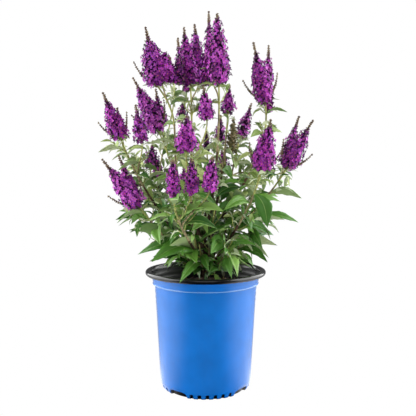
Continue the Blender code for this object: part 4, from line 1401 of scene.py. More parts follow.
class MakePottingMix(bpy.types.Operator):
    """Fill the pot with a rough bed of mix and strew chips and white grains over it"""

    bl_idname = "bush.make_potting_mix"
    bl_label = "Potting mix"

    def execute(self, context):
        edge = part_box("potting_mix")[1].x - MIX_SIDE_GAP
        skin = joined([self.bed(edge), self.chips(edge)])
        finishes = [self.finish(name, from_screen(*tint)) for name, tint in MIX_TINTS.items()]
        piece = made_mesh("potting_bed", skin, finishes)
        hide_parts("potting_mix")
        return {"FINISHED"}

    def finish(self, name, colour):
        return patterned_finish(
            name, "Weathered", (shaded(colour, 1.3), shaded(colour, 0.6)), (220, 1500),
            (0.75, 0.95), (0.5, 0.5 * MM), specular=0.2)

    def bed(self, edge):
        """The bed, from the pot's floor up its wall and in to the middle."""
        inset, shoulder = MIX_SHOULDER
        radii = [MIX_FOOT_RADIUS, edge - inset, *np.linspace(edge, MIX_MIDDLE, MIX_ROWS)]
        heights = [FLOOR + GAP, shoulder, *np.full(MIX_ROWS, SOIL_TOP)]
        radii, heights = np.array(radii)[:, None], np.array(heights)[:, None]
        angle = ring_angles(MIX_COLUMNS)[None]
        bed = np.stack(np.broadcast_arrays(radii * np.cos(angle), radii * np.sin(angle), heights), -1)
        rough = sum(height * wobble(bed, waves, seed) for height, waves, seed in MIX_WAVES)
        drop = MIX_SINKS_AT_WALL * smooth_step(radii, edge - MIX_WALL_REACH, edge)
        bed[..., 2] += np.where(heights > SOIL_TOP - MM, rough - MIX_SINKS - drop, 0) * MM
        return closed_skins(
            bed[None], np.array([[0, 0, FLOOR + GAP]]), np.array([[0, 0, SOIL_TOP]]), 0)

    def chips(self, edge):
        rng = np.random.default_rng(CHIP_SEED)
        reach = np.sqrt(rng.uniform(0.02, 1, CHIP_COUNT)) * (edge - CHIP_ROOM)
        turn = rng.uniform(0, 2 * np.pi, CHIP_COUNT)
        lift = rng.uniform(*CHIP_LIFTS, CHIP_COUNT) * MM
        centres = np.stack([reach * np.cos(turn), reach * np.sin(turn), SOIL_TOP + lift], 1)
        ways = unit(rng.normal(size=(CHIP_COUNT, 3)) * np.array(CHIPS_LIE))
        finish = rng.choice(CHIP_KINDS, CHIP_COUNT, p=CHIP_CHANCES)
        is_grain = finish == CHIP_KINDS[-1]
        lengths = np.where(is_grain, GRAIN_LENGTH, rng.uniform(*CHIP_LENGTHS, CHIP_COUNT)) * MM
        widths = lengths * np.where(is_grain, GRAIN_WIDTH, rng.uniform(*CHIP_WIDTHS, CHIP_COUNT))
        return beads(centres, ways, lengths, widths, finish)


TRUNK_ROWS, TRUNK_COLUMNS = 64, 56
BOUGH_ROWS, BOUGH_COLUMNS = 40, 20
TRUNK_RELIEF, BOUGH_RELIEF, STEM_RELIEF = 0.55 * MM, 0.28 * MM, 0.10 * MM
FLARE_CURVE = 1.6


def relief(angle, along, seed):
    """Height of the bark, about -1 to 1: ridges that run up the wood and wander and merge.

    It is a sum of five sines round the wood, the finer ones lower. Each drifts round by up to 60
    radians in a metre and wanders to and fro by 1.4.
    """
    rng = np.random.default_rng(seed)
    total = np.zeros(np.broadcast(angle, along).shape)
    for n in range(5):
        ridges = 3 + 2 * n + rng.integers(0, 2)
        drift = rng.uniform(-60, 60) * along
        wander = 1.4 * np.sin(along * rng.uniform(90, 200) + rng.uniform(0, 6))
        total += np.sin(ridges * angle + drift + wander + rng.uniform(0, 6)) / (1 + 0.3 * n)
    return total / 2.6


class MakeBark(bpy.types.Operator):
    """Grow the trunk with its root flare and the boughs, all with ridged bark"""

    bl_idname = "bush.make_bark"
    bl_label = "Trunk and boughs"

    def execute(self, context):
        finish = bark_finish("ridged_bark", tuple(context.scene.bush_plant.bark))
        trunk = made_mesh("bark_trunk", self.trunk(), [finish])
        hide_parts("trunk")
        boughs = made_mesh("bark_boughs", self.boughs(), [finish])
        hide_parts(*("bough_" + shoot.name for shoot in SHOOTS))
        return {"FINISHED"}

    def trunk(self):
        share = np.linspace(0, 1, TRUNK_ROWS)[:, None]
        angle = ring_angles(TRUNK_COLUMNS)[None]
        flare = (TRUNK_FLARE - TRUNK_RADIUS) * np.maximum(0, 1 - share / FLARE_SHARE) ** FLARE_CURVE
        radius = TRUNK_RADIUS + (TRUNK_TIP_RADIUS - TRUNK_RADIUS) * share + flare
        radius = radius + flare * LOBE_SHARE * np.cos(ROOT_LOBES * angle + LOBE_TURN)
        radius = radius + TRUNK_RELIEF * relief(angle, share * TRUNK_HEIGHT, 21)
        centres = np.array([trunk_at(float(s)) for s in share[:, 0]])
        around = np.stack([radius * np.cos(angle), radius * np.sin(angle), 0 * radius], -1)
        rings = (centres[:, None] + around)[None]
        return closed_skins(rings, centres[:1], centres[-1:] + np.array([[0, 0, MM]]), 0)

    def boughs(self):
        """One for each shoot, along the first of its way to its first head."""
        mains = {limb.owner: limb for limb in reversed(grown()[0])}
        mains = [mains[shoot.name] for shoot in SHOOTS]
        last = BOUGH_ROWS - 1
        paths = np.array([
            [at_length(m.path, m.sums, BOUGH_SHARE * m.sums[-1] * i / last)[0]
             for i in range(BOUGH_ROWS)] for m in mains])
        taper = np.linspace(BOUGH_FOOT_RADIUS, BOUGH_TIP_RADIUS, BOUGH_ROWS)
        rings = tube_rings(paths, np.broadcast_to(taper, paths.shape[:2]), BOUGH_COLUMNS)
        angle = ring_angles(BOUGH_COLUMNS) + np.arange(len(mains))[:, None, None]
        along = np.linspace(0, 80 * MM, BOUGH_ROWS)[None, :, None]
        high = BOUGH_RELIEF * relief(angle, along, 22)
        rings = rings + high[..., None] * unit(rings - paths[:, :, None])
        return closed_skins(rings, paths[:, 0], paths[:, -1], 0)


STEM_STEP = 5 * MM
STEM_STATIONS = 6
STEM_COLUMNS = 9

# A node on a stem: the rings round it, the room kept for them, how much thicker the nearest of them
# are, and how near these lie.
NODE_RINGS = (-2.2 * MM, -0.8 * MM, 0.8 * MM, 2.2 * MM)
NODE_ROOM = 4 * MM
NODE_SWELLING = 0.38
NODE_REACH = 1.2 * MM
TWIG_RADII = (1.0 * MM, 0.6 * MM)

# The share of a stem's wood that is old and not brown, and the share of the rest that is tan. Then
# how much of the stem's colour is in the tan, and what young green keeps of its red, green and blue.
DARK_WOOD_SHARE = 0.75
TAN_SHARE = 0.55
TAN_STEM_SHARE = 0.55
YOUNG_STEM = (0.75, 0.92, 0.55)


def stem_skin(limb, places, number):
    """A stem with a swollen ring at each node. It is bark below, and paler wood and green above."""
    length = limb.sums[-1] - limb.start
    count = max(STEM_STATIONS, round(length / STEM_STEP))
    marks = [
        mark for mark in np.linspace(limb.start, limb.sums[-1], count)
        if all(abs(mark - place) > NODE_ROOM for place in places)]
    marks += [place + step for place in places for step in NODE_RINGS]
    stations = np.sort(np.array(marks))
    path = np.array([at_length(limb.path, limb.sums, float(m))[0] for m in stations])
    share = (stations - limb.start) / length
    radii = limb.radii[0] + (limb.radii[1] - limb.radii[0]) * share
    if places:
        near = np.abs(stations[:, None] - np.array(places)[None]).min(1)
        radii = radii * (1 + NODE_SWELLING * (near < NODE_REACH))
    rings = tube_rings(path[None], radii[None], STEM_COLUMNS)
    high = STEM_RELIEF * relief(ring_angles(STEM_COLUMNS)[None], stations[:, None], 40 + number)
    rings = rings + (high[..., None] * unit(rings[0] - path[:, None]))[None]
    middle = (share[1:] + share[:-1]) / 2
    green_from = TAN_SHARE + (1 - TAN_SHARE) * limb.wood
    bands = np.digitize(middle, [limb.wood * DARK_WOOD_SHARE, limb.wood, green_from])
    last = path[-1:] + unit(path[-1:] - path[-2:-1]) * MM
    return closed_skins(rings, path[:1], last, bands[None], (bands[0], bands[-1]))


def stem_finishes(bark, stem):
    """Old wood, brown, tan and young green, from the foot of a stem to its top."""
    young = tuple(share * part for share, part in zip(YOUNG_STEM, stem))
    tones = {
        "stem_old_wood": shaded(bark, 0.8), "stem_brown": shaded(bark, 1.5),
        "stem_tan": blended(bark, stem, TAN_STEM_SHARE), "stem_young": young}
    return [bark_finish(name, tone) for name, tone in tones.items()]


class MakeStems(bpy.types.Operator):
    """Carry the boughs on as stems with swollen nodes, and set fine side twigs in the axils"""

    bl_idname = "bush.make_stems"
    bl_label = "Stems and twigs"

    def execute(self, context):
        settings = context.scene.bush_plant
        limbs, _, nodes = grown()
        skins = []
        for number, limb in enumerate(limbs):
            places = [node.place for node in nodes if node.limb == number]
            skins.append(stem_skin(limb, places, number))
        twigs = finer_growth(settings.seed, settings.side_twigs)[0]
        taper = np.broadcast_to(np.linspace(*TWIG_RADII, TWIG_STATIONS), twigs.shape[:2])
        skins.append(tubes(twigs, taper, 5, 3, (3, 3)))
        finishes = stem_finishes(tuple(settings.bark), tuple(settings.stem))
        stems = made_mesh("stems", joined(skins), finishes)
        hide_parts(*sorted({"mass_" + limb.owner for limb in limbs}))
        return {"FINISHED"}


# Bracts at a head's foot: how far under it they start, their lengths over half the head's width, in
# millimetres, then their rise, their width as a share of the length, and their roll.
BRACTS = 5
BRACT_STARTS = (0.5, 11)
BRACT_LENGTHS = (0, 12)
BRACT_RISES = (-0.7, 0.9)
BRACT_WIDTHS = (0.14, 0.22)
BRACT_ROLLS = (-0.5, 0.5)
BRACT_OFFSET = 0.6 * MM

# The share of the upper sides that tilt outward, among large and small leaves.
LARGE_TILTED = 0.97
SMALL_TILTED = 0.74

# How many large pairs in a row have the same tint.
PAIRS_ALIKE = 3


def bracts_under(head, number):
    """Roots, tips, widths, rolls and sprays of the narrow leaves at the foot of a head."""
    rng = np.random.default_rng(500 + number)
    foot, way, first, second = head_frame(head)
    out = turned(first, second, np.arange(BRACTS) * GOLDEN_ANGLE + rng.uniform(0, 6))
    roots = foot - way * rng.uniform(*BRACT_STARTS, BRACTS)[:, None] * MM + BRACT_OFFSET * out
    headings = unit(out + rng.uniform(*BRACT_RISES, BRACTS)[:, None] * way)
    lengths = (0.5 * head.width + rng.uniform(*BRACT_LENGTHS, BRACTS)) * MM
    tips = roots + headings * lengths[:, None]
    widths = lengths * rng.uniform(*BRACT_WIDTHS, BRACTS)
    return roots, tips, widths, rng.uniform(*BRACT_ROLLS, BRACTS), np.full(BRACTS, number)


class MakeLeaves(bpy.types.Operator):
    """Grow the leaf blades of the solids, and small leaves on the side twigs and under the heads"""

    bl_idname = "bush.make_leaves"
    bl_label = "Leaves"

    def execute(self, context):
        settings = context.scene.bush_plant
        rng = np.random.default_rng(settings.seed + 1)
        roots, tips, widths, rolls, sprays = (np.array(part) for part in zip(*grown()[1]))
        middles = (roots + tips) / 2

        # A leaf of spray 0 is one that the photo shows. It stays, and turns its upper side forward.
        in_the_way = before_heads(middles) | before_heads(tips) | before_stems(middles)
        kept = ~in_the_way | (sprays == 0)
        shown = sprays[kept] == 0
        large = [
            part[kept] for part in (roots, tips, widths * LEAF_BREADTH, rolls, sprays // PAIRS_ALIKE)]
        outward = np.where(shown[:, None], [0, -1, 0], large[0] + large[1])
        self.grow("large_leaves", large, outward, np.where(shown, 1, LARGE_TILTED), LARGE_BLADE, rng)
        small = finer_growth(settings.seed, settings.side_twigs)[1]
        bracts = [bracts_under(head, number) for number, head in enumerate(all_heads())]
        small = [np.concatenate(parts) for parts in zip(small, *bracts)]
        inside = in_reach(small[1])
        small = [part[inside] for part in small]
        self.grow("small_leaves", small, small[0] + small[1], SMALL_TILTED, SMALL_BLADE, rng)
        return {"FINISHED"}

    def grow(self, name, leaves, outward, tilted, blade, rng):
        """One piece of leaves, which are given as roots, tips, widths, rolls and sprays."""
        roots, tips, widths, rolls, sprays = leaves
        rolls = facing(outward, roots, tips, rolls, tilted, rng)
        tints = dealt_tints(tips[:, 2], sprays, blade.unders, rng)
        skin = blades(roots, tips, widths, rolls, tints, blade, rng)
        made_mesh(name, skin, leaf_finishes(blade.prefix))


# A floret's outline: radius share and turn in degrees of the points of one of its four lobes.
LOBES = 4
LOBE_POINTS = ((0.42, -45), (0.88, -26), (1.04, 0), (0.88, 26))

# The rings at the throat's edge and at the tube's top, as shares of the size: radius and height. Then
# the depth of the throat and of the tube, and how much the lobes wave outside of a share.
THROAT_RING = (0.2, -0.04)
TUBE_RING = (0.22, -0.14)
THROAT_DEPTH = 0.22
TUBE_DEPTH = 1.5
LOBE_WAVES = 0.12
LOBES_WAVE_FROM = 0.6


def florets(centres, axes, spins, sizes, cups, finish):
    """Open florets as closed skins: a sunk throat, four round lobes and a tube behind.

    Rings of sixteen points: the throat's edge, the lobes' outline, and the tube's top under them.
    The tube comes to a point. finish is florets x 3: throat, lobes, tube.
    """
    first, _ = side_axes(axes)
    second = np.cross(first, axes)
    shares = np.tile([share for share, _ in LOBE_POINTS], LOBES)
    turns = np.radians([turn + 90 * lobe for lobe in range(LOBES) for _, turn in LOBE_POINTS])
    around = turned(first[:, None], second[:, None], spins[:, None] + turns)
    size = sizes[:, None, None]
    axis = axes[:, None]
    wavy = LOBE_WAVES * np.sin(spins[:, None] * 9 + 2 * turns)
    high = (cups[:, None] * shares ** 2 + wavy * (shares > LOBES_WAVE_FROM))[..., None]
    centre = centres[:, None]
    outlines = (THROAT_RING, (shares[None, :, None], high), TUBE_RING)
    rings = np.stack([centre + wide * size * around + rise * size * axis for wide, rise in outlines], 1)
    rim = np.repeat([False, True, False], len(shares))
    throats = centres - THROAT_DEPTH * sizes[:, None] * axes
    feet = centres - TUBE_DEPTH * sizes[:, None] * axes
    return closed_skins(
        rings, throats, feet, finish[:, 1:], (finish[:, 0], finish[:, 2]),
        np.append(rim, [False, False]))


def head_frame(head):
    """A head's foot, its way, and two directions square to it."""
    way = np.array(head_way(head))
    first, second = side_axes(way[None])
    return np.array(head_foot(head)), way, first[0], second[0]


# The lumps that the clusters make in a head, as a share of the radius, and how close they stand.
LUMPS = 0.17
LUMP_WAVES = 420


def on_head(head, shares, angles, depth, seed):
    """Points at a depth share of a head's outline, lumpy with its clusters, and their directions."""
    foot, way, first, second = head_frame(head)
    out = turned(first, second, angles)
    radius = head_radius(head, shares) * depth
    points = foot + way * (shares * head.length * MM)[:, None] + out * radius[:, None]
    return points + out * (LUMPS * radius * wobble(points, LUMP_WAVES, seed))[:, None], out


def spread_over(head, count, low, high):
    """Shares of the length and angles of points that part a head's surface evenly.

    The share comes from the running sum of the circumference, and each angle is a golden angle on
    from the one before.
    """
    shares = np.linspace(low, high, 200)
    weight = np.cumsum(head_radius(head, shares))
    weight = (weight - weight[0]) / (weight[-1] - weight[0])
    at = (np.arange(count) + 0.5) / count
    return np.interp(at, weight, shares), np.arange(count) * GOLDEN_ANGLE


# How far up a head it is in bloom, and where the bloom starts to fade and ends, as shares of its
# length, each with what is added on a full head.
BLOOM_FOOT = -0.04
BLOOM_TOP = (0.86, 0.1)
FADING_FROM = (0.66, 0.18)
FADED_FROM = (0.84, 0.1)
MEAN_RADIUS = 0.66

# Layers of florets from outside in: depth as a share of the radius, and how densely they stand.
LAYERS = ((1.0, 0.86), (0.76, 0.6))
FLORET_DENSITY = 1.25

# How florets differ. Their lift over the surface is in millimetres, the rest are shares and radians.
SHARE_SPREAD, DEPTH_SPREAD, TURN_SPREAD, AXIS_SPREAD = 0.008, 0.06, 0.12, 0.14
FLORET_LIFTS = (-2.0, 1.6)
FLORET_RISES = (0.0, 0.5)
FLORET_SIZES = (0.82, 1.14)
FLORET_CUPS = (-0.18, 0.3)
AGE_CLOSES, AGE_SHRINKS, TOP_SHRINKS = 0.75, 0.25, 0.25
SHRINKS_BETWEEN = (0.45, 0.8)
MAIN_TINT_SHARE = 0.55
# The chance of a dark petal: on the outer layer for spent florets, by age, and on the inner layer as
# painted shade.
OLD_OUTSIDE, SHADE_INSIDE = 1.3, 0.6

# The numbers of the blossom's further finishes, after those of its petals.
THROAT = len(PETAL_TINTS) + len(SPENT_AND_SHADE_PETAL_TINTS)
TUBE, SHADE_CORE, CALYX = THROAT + 1, THROAT + 2, THROAT + 3

# Closed buds between the florets, in millimetres, and their tints. A spent head has no open florets,
# and its buds are larger.
CLOSED_SHARE = 0.8
CLOSED_LENGTHS = (3.4, 5.4)
CLOSED_WIDTH = 0.42
CLOSED_DEPTH = 0.3
YOUNG_TINTS, OLD_TINTS, SPENT_TINTS = (0, 0, 1), (5, 6, 3), (2, 4, 5, 6, 6)
OLD_FROM = 0.5
SPENT_FROM = 0.95
SPENT_LENGTH, SPENT_WIDTH = 1.6, 0.9

# A dark tube inside a head, painted shade between the florets: from where to where, and its radius as a
# share of the head's at its foot and from a little above. Its foot is green.
CORE_ENDS = (-0.06, 0.92)
CORE_FILLS = ((-0.06, 0.12), (0.25, 0.5))
CORE_ROWS, CORE_COLUMNS = 14, 10
GREEN_FOOT = 0.04


def on_full(head, share_and_more):
    share, more = share_and_more
    return share + more * head.full


def petal_tints(head, depth, main_tint, count, rng):
    """Tints near the head's main one, any others, and dark ones: spent florets on the outer layer, more
    of them with age, and painted shade on the inner layer.
    """
    petals = len(PETAL_TINTS)
    near = (main_tint + rng.integers(0, 2, count)) % petals
    tints = np.where(rng.uniform(size=count) < MAIN_TINT_SHARE, near, rng.integers(0, petals, count))
    is_dark_tint = rng.uniform(size=count) < (OLD_OUTSIDE * head.age if depth == 1 else SHADE_INSIDE)
    return np.where(is_dark_tint, petals + rng.integers(0, len(SPENT_AND_SHADE_PETAL_TINTS), count), tints)


def layer_of(head, number, layer, main_tint, settings, rng):
    """The open florets of one layer of a head, and the closed buds between them."""
    depth, amount = layer
    highest = on_full(head, BLOOM_TOP)
    area = 2 * np.pi * head.width * MM / 2 * MEAN_RADIUS * head.length * MM * (highest - BLOOM_FOOT)
    n = int(FLORET_DENSITY * area / settings.floret_pitch ** 2 * amount)
    shares, angles = spread_over(head, n, BLOOM_FOOT, highest)
    shares = shares + rng.normal(0, SHARE_SPREAD, n)
    depths = depth * (1 + rng.normal(0, DEPTH_SPREAD, n))
    points, out = on_head(head, shares, angles + rng.normal(0, TURN_SPREAD, n), depths, number)
    points = points + out * rng.uniform(*FLORET_LIFTS, n)[:, None] * MM
    rise = rng.uniform(*FLORET_RISES, n)[:, None] * np.array(head_way(head))
    axes = unit(out + rise + rng.normal(0, AXIS_SPREAD, (n, 3)))
    in_bloom = 1 - smooth_step(shares, on_full(head, FADING_FROM), on_full(head, FADED_FROM))
    in_bloom = in_bloom * (1 - AGE_CLOSES * head.age) * (head.age < SPENT_FROM)
    is_open = rng.uniform(size=n) < in_bloom
    sizes = settings.floret / 2 * rng.uniform(*FLORET_SIZES, n) * (1 - AGE_SHRINKS * head.age)
    sizes = sizes * (1 - TOP_SHRINKS * smooth_step(shares, *SHRINKS_BETWEEN))
    tints = petal_tints(head, depth, main_tint, n, rng)
    finish = np.stack([np.full(n, THROAT), tints, np.full(n, TUBE)], 1)
    cups = rng.uniform(*FLORET_CUPS, n)
    spins = rng.uniform(0, np.pi / 2, n)
    bloom = florets(*(part[is_open] for part in (points, axes, spins, sizes, cups, finish)))
    is_bud = ~is_open & (rng.uniform(size=n) < CLOSED_SHARE)
    return bloom, closed_buds(head, points[is_bud], axes[is_bud], rng)


def closed_buds(head, points, axes, rng):
    count = len(points)
    tints = rng.choice(OLD_TINTS if head.age > OLD_FROM else YOUNG_TINTS, count)
    size = rng.uniform(*CLOSED_LENGTHS, count) * MM
    width = CLOSED_WIDTH * size
    if head.age > SPENT_FROM:
        tints = rng.choice(SPENT_TINTS, count)
        size, width = SPENT_LENGTH * size, SPENT_WIDTH * size
    return beads(points - CLOSED_DEPTH * size[:, None] * axes, axes, size, width, tints)


def shade_core_of(head):
    """The dark inside of a head, a tube of painted shade between its florets."""
    shares = np.linspace(*CORE_ENDS, CORE_ROWS)
    way = np.array(head_way(head))
    path = np.array(head_foot(head)) + way * (shares * head.length * MM)[:, None]
    thick = head_radius(head, shares) * np.interp(shares, *CORE_FILLS)
    bands = np.where((shares[1:] < GREEN_FOOT) | (head.age > SPENT_FROM), CALYX, SHADE_CORE)
    return tubes(path[None], thick[None], CORE_COLUMNS, bands[None], (CALYX, SHADE_CORE))


def bloom_of(head, number, settings):
    """The florets and the painted-shade core of one head, and its closed buds."""
    rng = np.random.default_rng(100 + number)
    main_tint = rng.integers(0, len(PETAL_TINTS))
    layers = [layer_of(head, number, layer, main_tint, settings, rng) for layer in LAYERS]
    blooms, buds = zip(*layers)
    return [*blooms, shade_core_of(head)], list(buds)


# Whorls of buds on a spike: how close they stand as a share of a bud, how many buds they have, and
# how far each is turned from the one below. Then how the buds differ.
WHORL_PITCH = 0.86
WHORL_BUDS = 5
WHORL_TURN = 0.63
WHORL_SPREAD = 0.15
WHORL_DEPTHS = (0.5, 1.0)
WHORL_SHIFTS = (-0.22, 0.22)
BUD_OUTWARD = 0.8
BUD_WIDTH = 0.8
BUD_SIZES = (0.85, 1.2)
BUD_FALL = 0.35
BUD_TINT_STEPS = 3.2
BUD_TINT_SPREAD = (-0.6, 0.9)
BUD_TINT_LAST = 4


def spike_beads(path, radii, size, first_tint, rng):
    """Whorls of buds round a path, from larger purple ones to small brown ones at its tip."""
    total = np.linalg.norm(np.diff(path, axis=0), axis=1).sum()
    whorls = max(4, int(total / (WHORL_PITCH * size)))
    share = (np.arange(whorls) + 0.5) / whorls
    stations = np.linspace(0, 1, len(path))
    centres = np.stack([np.interp(share, stations, path[:, k]) for k in range(3)], 1)[:, None]
    radius = np.interp(share, stations, radii)[:, None]
    way = unit(path[-1] - path[0])
    angle = np.arange(whorls)[:, None] * WHORL_TURN + ring_angles(WHORL_BUDS)
    angle = angle + rng.normal(0, WHORL_SPREAD, angle.shape)
    out = turned(*side_axes(way[None]), angle)
    points = centres + out * (radius * rng.uniform(*WHORL_DEPTHS, angle.shape))[..., None]
    points = points + way * rng.uniform(*WHORL_SHIFTS, angle.shape)[..., None] * size
    ways = unit(BUD_OUTWARD * out + way + rng.normal(0, WHORL_SPREAD, out.shape))
    steps = BUD_TINT_STEPS * share[:, None] + rng.uniform(*BUD_TINT_SPREAD, angle.shape)
    tints = np.clip(first_tint + np.floor(steps), 0, BUD_TINT_LAST).astype(int).reshape(-1)
    lengths = size * (1 - BUD_FALL * share)[:, None] * rng.uniform(*BUD_SIZES, angle.shape)
    lengths = lengths.reshape(-1)
    return beads(points.reshape(-1, 3), ways.reshape(-1, 3), lengths, BUD_WIDTH * lengths, tints)


# The spike at a head's tip: where it starts, with what is added on a full head, and where it ends.
TIP_SPIKE_FROM = (0.72, 0.18)
TIP_SPIKE_TO = 1.02
TIP_SPIKE_RADII = (3.2 * MM, 2.0 * MM)
TIP_SPIKE_WIDEST = 4.5 * MM
TIP_SPIKE_SHARE = 0.9
TIP_SPIKE_SWAY = 0.012
TIP_SPIKE_BUD = 1.3
TIP_SPIKE_STATIONS = 6
TIP_SPIKE_AXIS = 0.5

# Side spikes: how wide and how full a head is that has them, their foot, length and sag as shares of
# the head's length and of their reach, and their buds. They first run inside the head.
WIDE_HEAD = 36 * MM
FULLEST_SPIKED = 0.5
SIDE_SPIKE_FOOT = 0.04
SIDE_SPIKE_SHARE = 0.30
SIDE_SPIKE_MIDDLE = 0.6
SIDE_SPIKE_SAG = 0.22
SIDE_SPIKE_TURN = math.radians(40)
SIDE_SPIKE_RADIUS = 2.7 * MM
SIDE_SPIKE_RADII = (0.9, 0.5)
SIDE_SPIKE_BUD = 1.15
SIDE_SPIKE_FROM = 0.1
SIDE_SPIKE_STATIONS = 7
SIDE_SPIKE_AXIS = 0.45


def tip_spike(head, settings, rng):
    foot, way = np.array(head_foot(head)), np.array(head_way(head))
    length, count = head.length * MM, TIP_SPIKE_STATIONS
    shares = np.linspace(on_full(head, TIP_SPIKE_FROM), TIP_SPIKE_TO, count)
    sway = TIP_SPIKE_SWAY * length * unit(rng.normal(size=3))
    path = foot + way * (shares * length)[:, None] + sway * (np.linspace(0, 1, count) ** 2)[:, None]
    radii = np.clip(
        head_radius(head, shares) * TIP_SPIKE_SHARE, np.linspace(*TIP_SPIKE_RADII, count),
        TIP_SPIKE_WIDEST)
    first_tint = 0 if head.age < OLD_FROM else 2
    return [
        spike_beads(path, radii, settings.bead * TIP_SPIKE_BUD, first_tint, rng),
        tubes(path[None], TIP_SPIKE_AXIS * radii[None], 5, 3, (3, 3))]


def side_spike(head, side, settings, rng):
    """A spike on one side of a head's foot, on a curve that sags."""
    way = np.array(head_way(head))
    base = np.array(head_foot(head)) + way * SIDE_SPIKE_FOOT * head.length * MM
    across = unit(np.cross(way, np.array([0, 1, 0.1])))
    reach = (0.5 * head.width + SIDE_SPIKE_SHARE * head.length) * MM
    out = way * math.cos(SIDE_SPIKE_TURN) + across * side * math.sin(SIDE_SPIKE_TURN)
    middle = base + SIDE_SPIKE_MIDDLE * reach * out - way * SIDE_SPIKE_SAG * reach
    tip = base + reach * out + way * SIDE_SPIKE_RADIUS
    pull = 2 * middle - (base + tip) / 2
    t = np.linspace(SIDE_SPIKE_FROM, 1, SIDE_SPIKE_STATIONS)[:, None]
    path = (1 - t) ** 2 * base + 2 * t * (1 - t) * pull + t ** 2 * tip
    radii = np.linspace(*SIDE_SPIKE_RADII, SIDE_SPIKE_STATIONS) * SIDE_SPIKE_RADIUS
    return [
        spike_beads(path, radii, settings.bead * SIDE_SPIKE_BUD, 1, rng),
        tubes(path[None], SIDE_SPIKE_AXIS * radii[None], 4, 3, (3, 3))]


def spikes_of(head, number, settings):
    """The bud spike at a head's tip, and the two side spikes at the foot of a wide head."""
    rng = np.random.default_rng(300 + number)
    spikes = tip_spike(head, settings, rng)
    if head.width * MM >= WIDE_HEAD and head.full <= FULLEST_SPIKED:
        for side in (-1, 1):
            spikes += side_spike(head, side, settings, rng)
    return spikes


# Where the blossom is parted, so that each piece keeps under 200,000 triangles. The height is in
# millimetres.
PARTED_AT_X = -40 * MM
PARTED_AT_HEIGHT = 545


class MakeBlossom(bpy.types.Operator):
    """Cover each flower head with florets, and set buds on its tip and at its foot"""

    bl_idname = "bush.make_blossom"
    bl_label = "Blossom and buds"

    def execute(self, context):
        settings = context.scene.bush_plant
        finishes = (
            plain_finishes("petal", PETAL_TINTS, 0.55, specular=0.25)
            + plain_finishes("spent_petal", SPENT_AND_SHADE_PETAL_TINTS, 0.75, specular=0.25)
            + [plain_finish("throat", THROAT_TINT, 0.6), plain_finish("floret_tube", TUBE_TINT, 0.6),
               plain_finish("head_core", SHADE_CORE_TINT, 0.9, specular=0.1),
               plain_finish("calyx", CALYX_TINT, 0.8, specular=0.2)])
        batches = {"top_left": [], "top_right": [], "left": [], "right": []}
        buds = []
        for number, head in enumerate((*all_heads(), *FILLERS)):
            bloom, closed = bloom_of(head, number, settings)
            side = "left" if head_foot(head).x < PARTED_AT_X else "right"
            batches["top_" + side if head.height > PARTED_AT_HEIGHT else side] += bloom
            buds += closed
            if number < len(all_heads()):
                buds += spikes_of(head, number, settings)
        for part, skins in batches.items():
            made_mesh("blossom_" + part, joined(skins), finishes)
        bud_finishes = plain_finishes("bud", BUD_TINTS, 0.65, specular=0.35)
        made_mesh("buds", joined(buds), bud_finishes)
        return {"FINISHED"}


LENS = 51.66
SENSOR = 36
AIM = Vector((0, 0, 0.38))

# Lights: place, width and height, and the setting that holds the power.
LIGHTS = {
    "left_light": ((-1.6, 0.3, 1.15), (3.2, 2.2), "side_power"),
    "right_light": ((1.6, 0.3, 1.15), (3.2, 2.2), "side_power"),
    "front_light": ((0, -1.9, 1.5), (1.6, 1.0), "front_power")}

# The light that gloss mirrors: its share at y over the distance from the pot, from -1 in front to 1
# behind, and its full strength.
BOARDS = ((-0.93, 0.0), (-0.3, 1.0), (0.1, 1.0), (0.85, 0.35))
BOARD_STRENGTH = 1.7
FLOOR_HALF = 4.0
FLOOR_HEIGHT = -0.2 * MM
FLOOR_GREY = 0.85
FLOOR_ROUGHNESS = 0.8
WHITE = (1, 1, 1, 1)


def board_strength(tree):
    """The light that gloss mirrors from the floor: bright at the sides and dark in front."""
    place = added(tree, "TexCoord", {}).outputs["Object"]
    level = added(tree, "VectorMath", {0: place}, operation="NORMALIZE").outputs["Vector"]
    forward = added(tree, "SeparateXYZ", {"Vector": level}).outputs["Y"]
    ramp = added(tree, "ValToRGB", {"Fac": calculated(tree, "MULTIPLY_ADD", forward, 0.5, 0.5)})
    ramp.color_ramp.interpolation = "EASE"
    stops = ramp.color_ramp.elements
    while len(stops) < len(BOARDS):
        stops.new(0.5)
    for stop, (forward, share) in zip(stops, BOARDS):
        stop.position = 0.5 + 0.5 * forward
        stop.color = (share, share, share, 1)
    return calculated(tree, "MULTIPLY", ramp.outputs["Color"], BOARD_STRENGTH)


def show_as_white(tree, kind, other, output):
    """Camera rays see a white shader of this kind, and all others the other shader."""
    white = added(tree, kind, {"Color": WHITE}).outputs[0]
    rays = added(tree, "LightPath", {}).outputs
    choice = added(tree, "MixShader", {"Fac": rays["Is Camera Ray"], 1: other, 2: white})
    fed(tree, tree.nodes[output], {"Surface": choice.outputs["Shader"]})


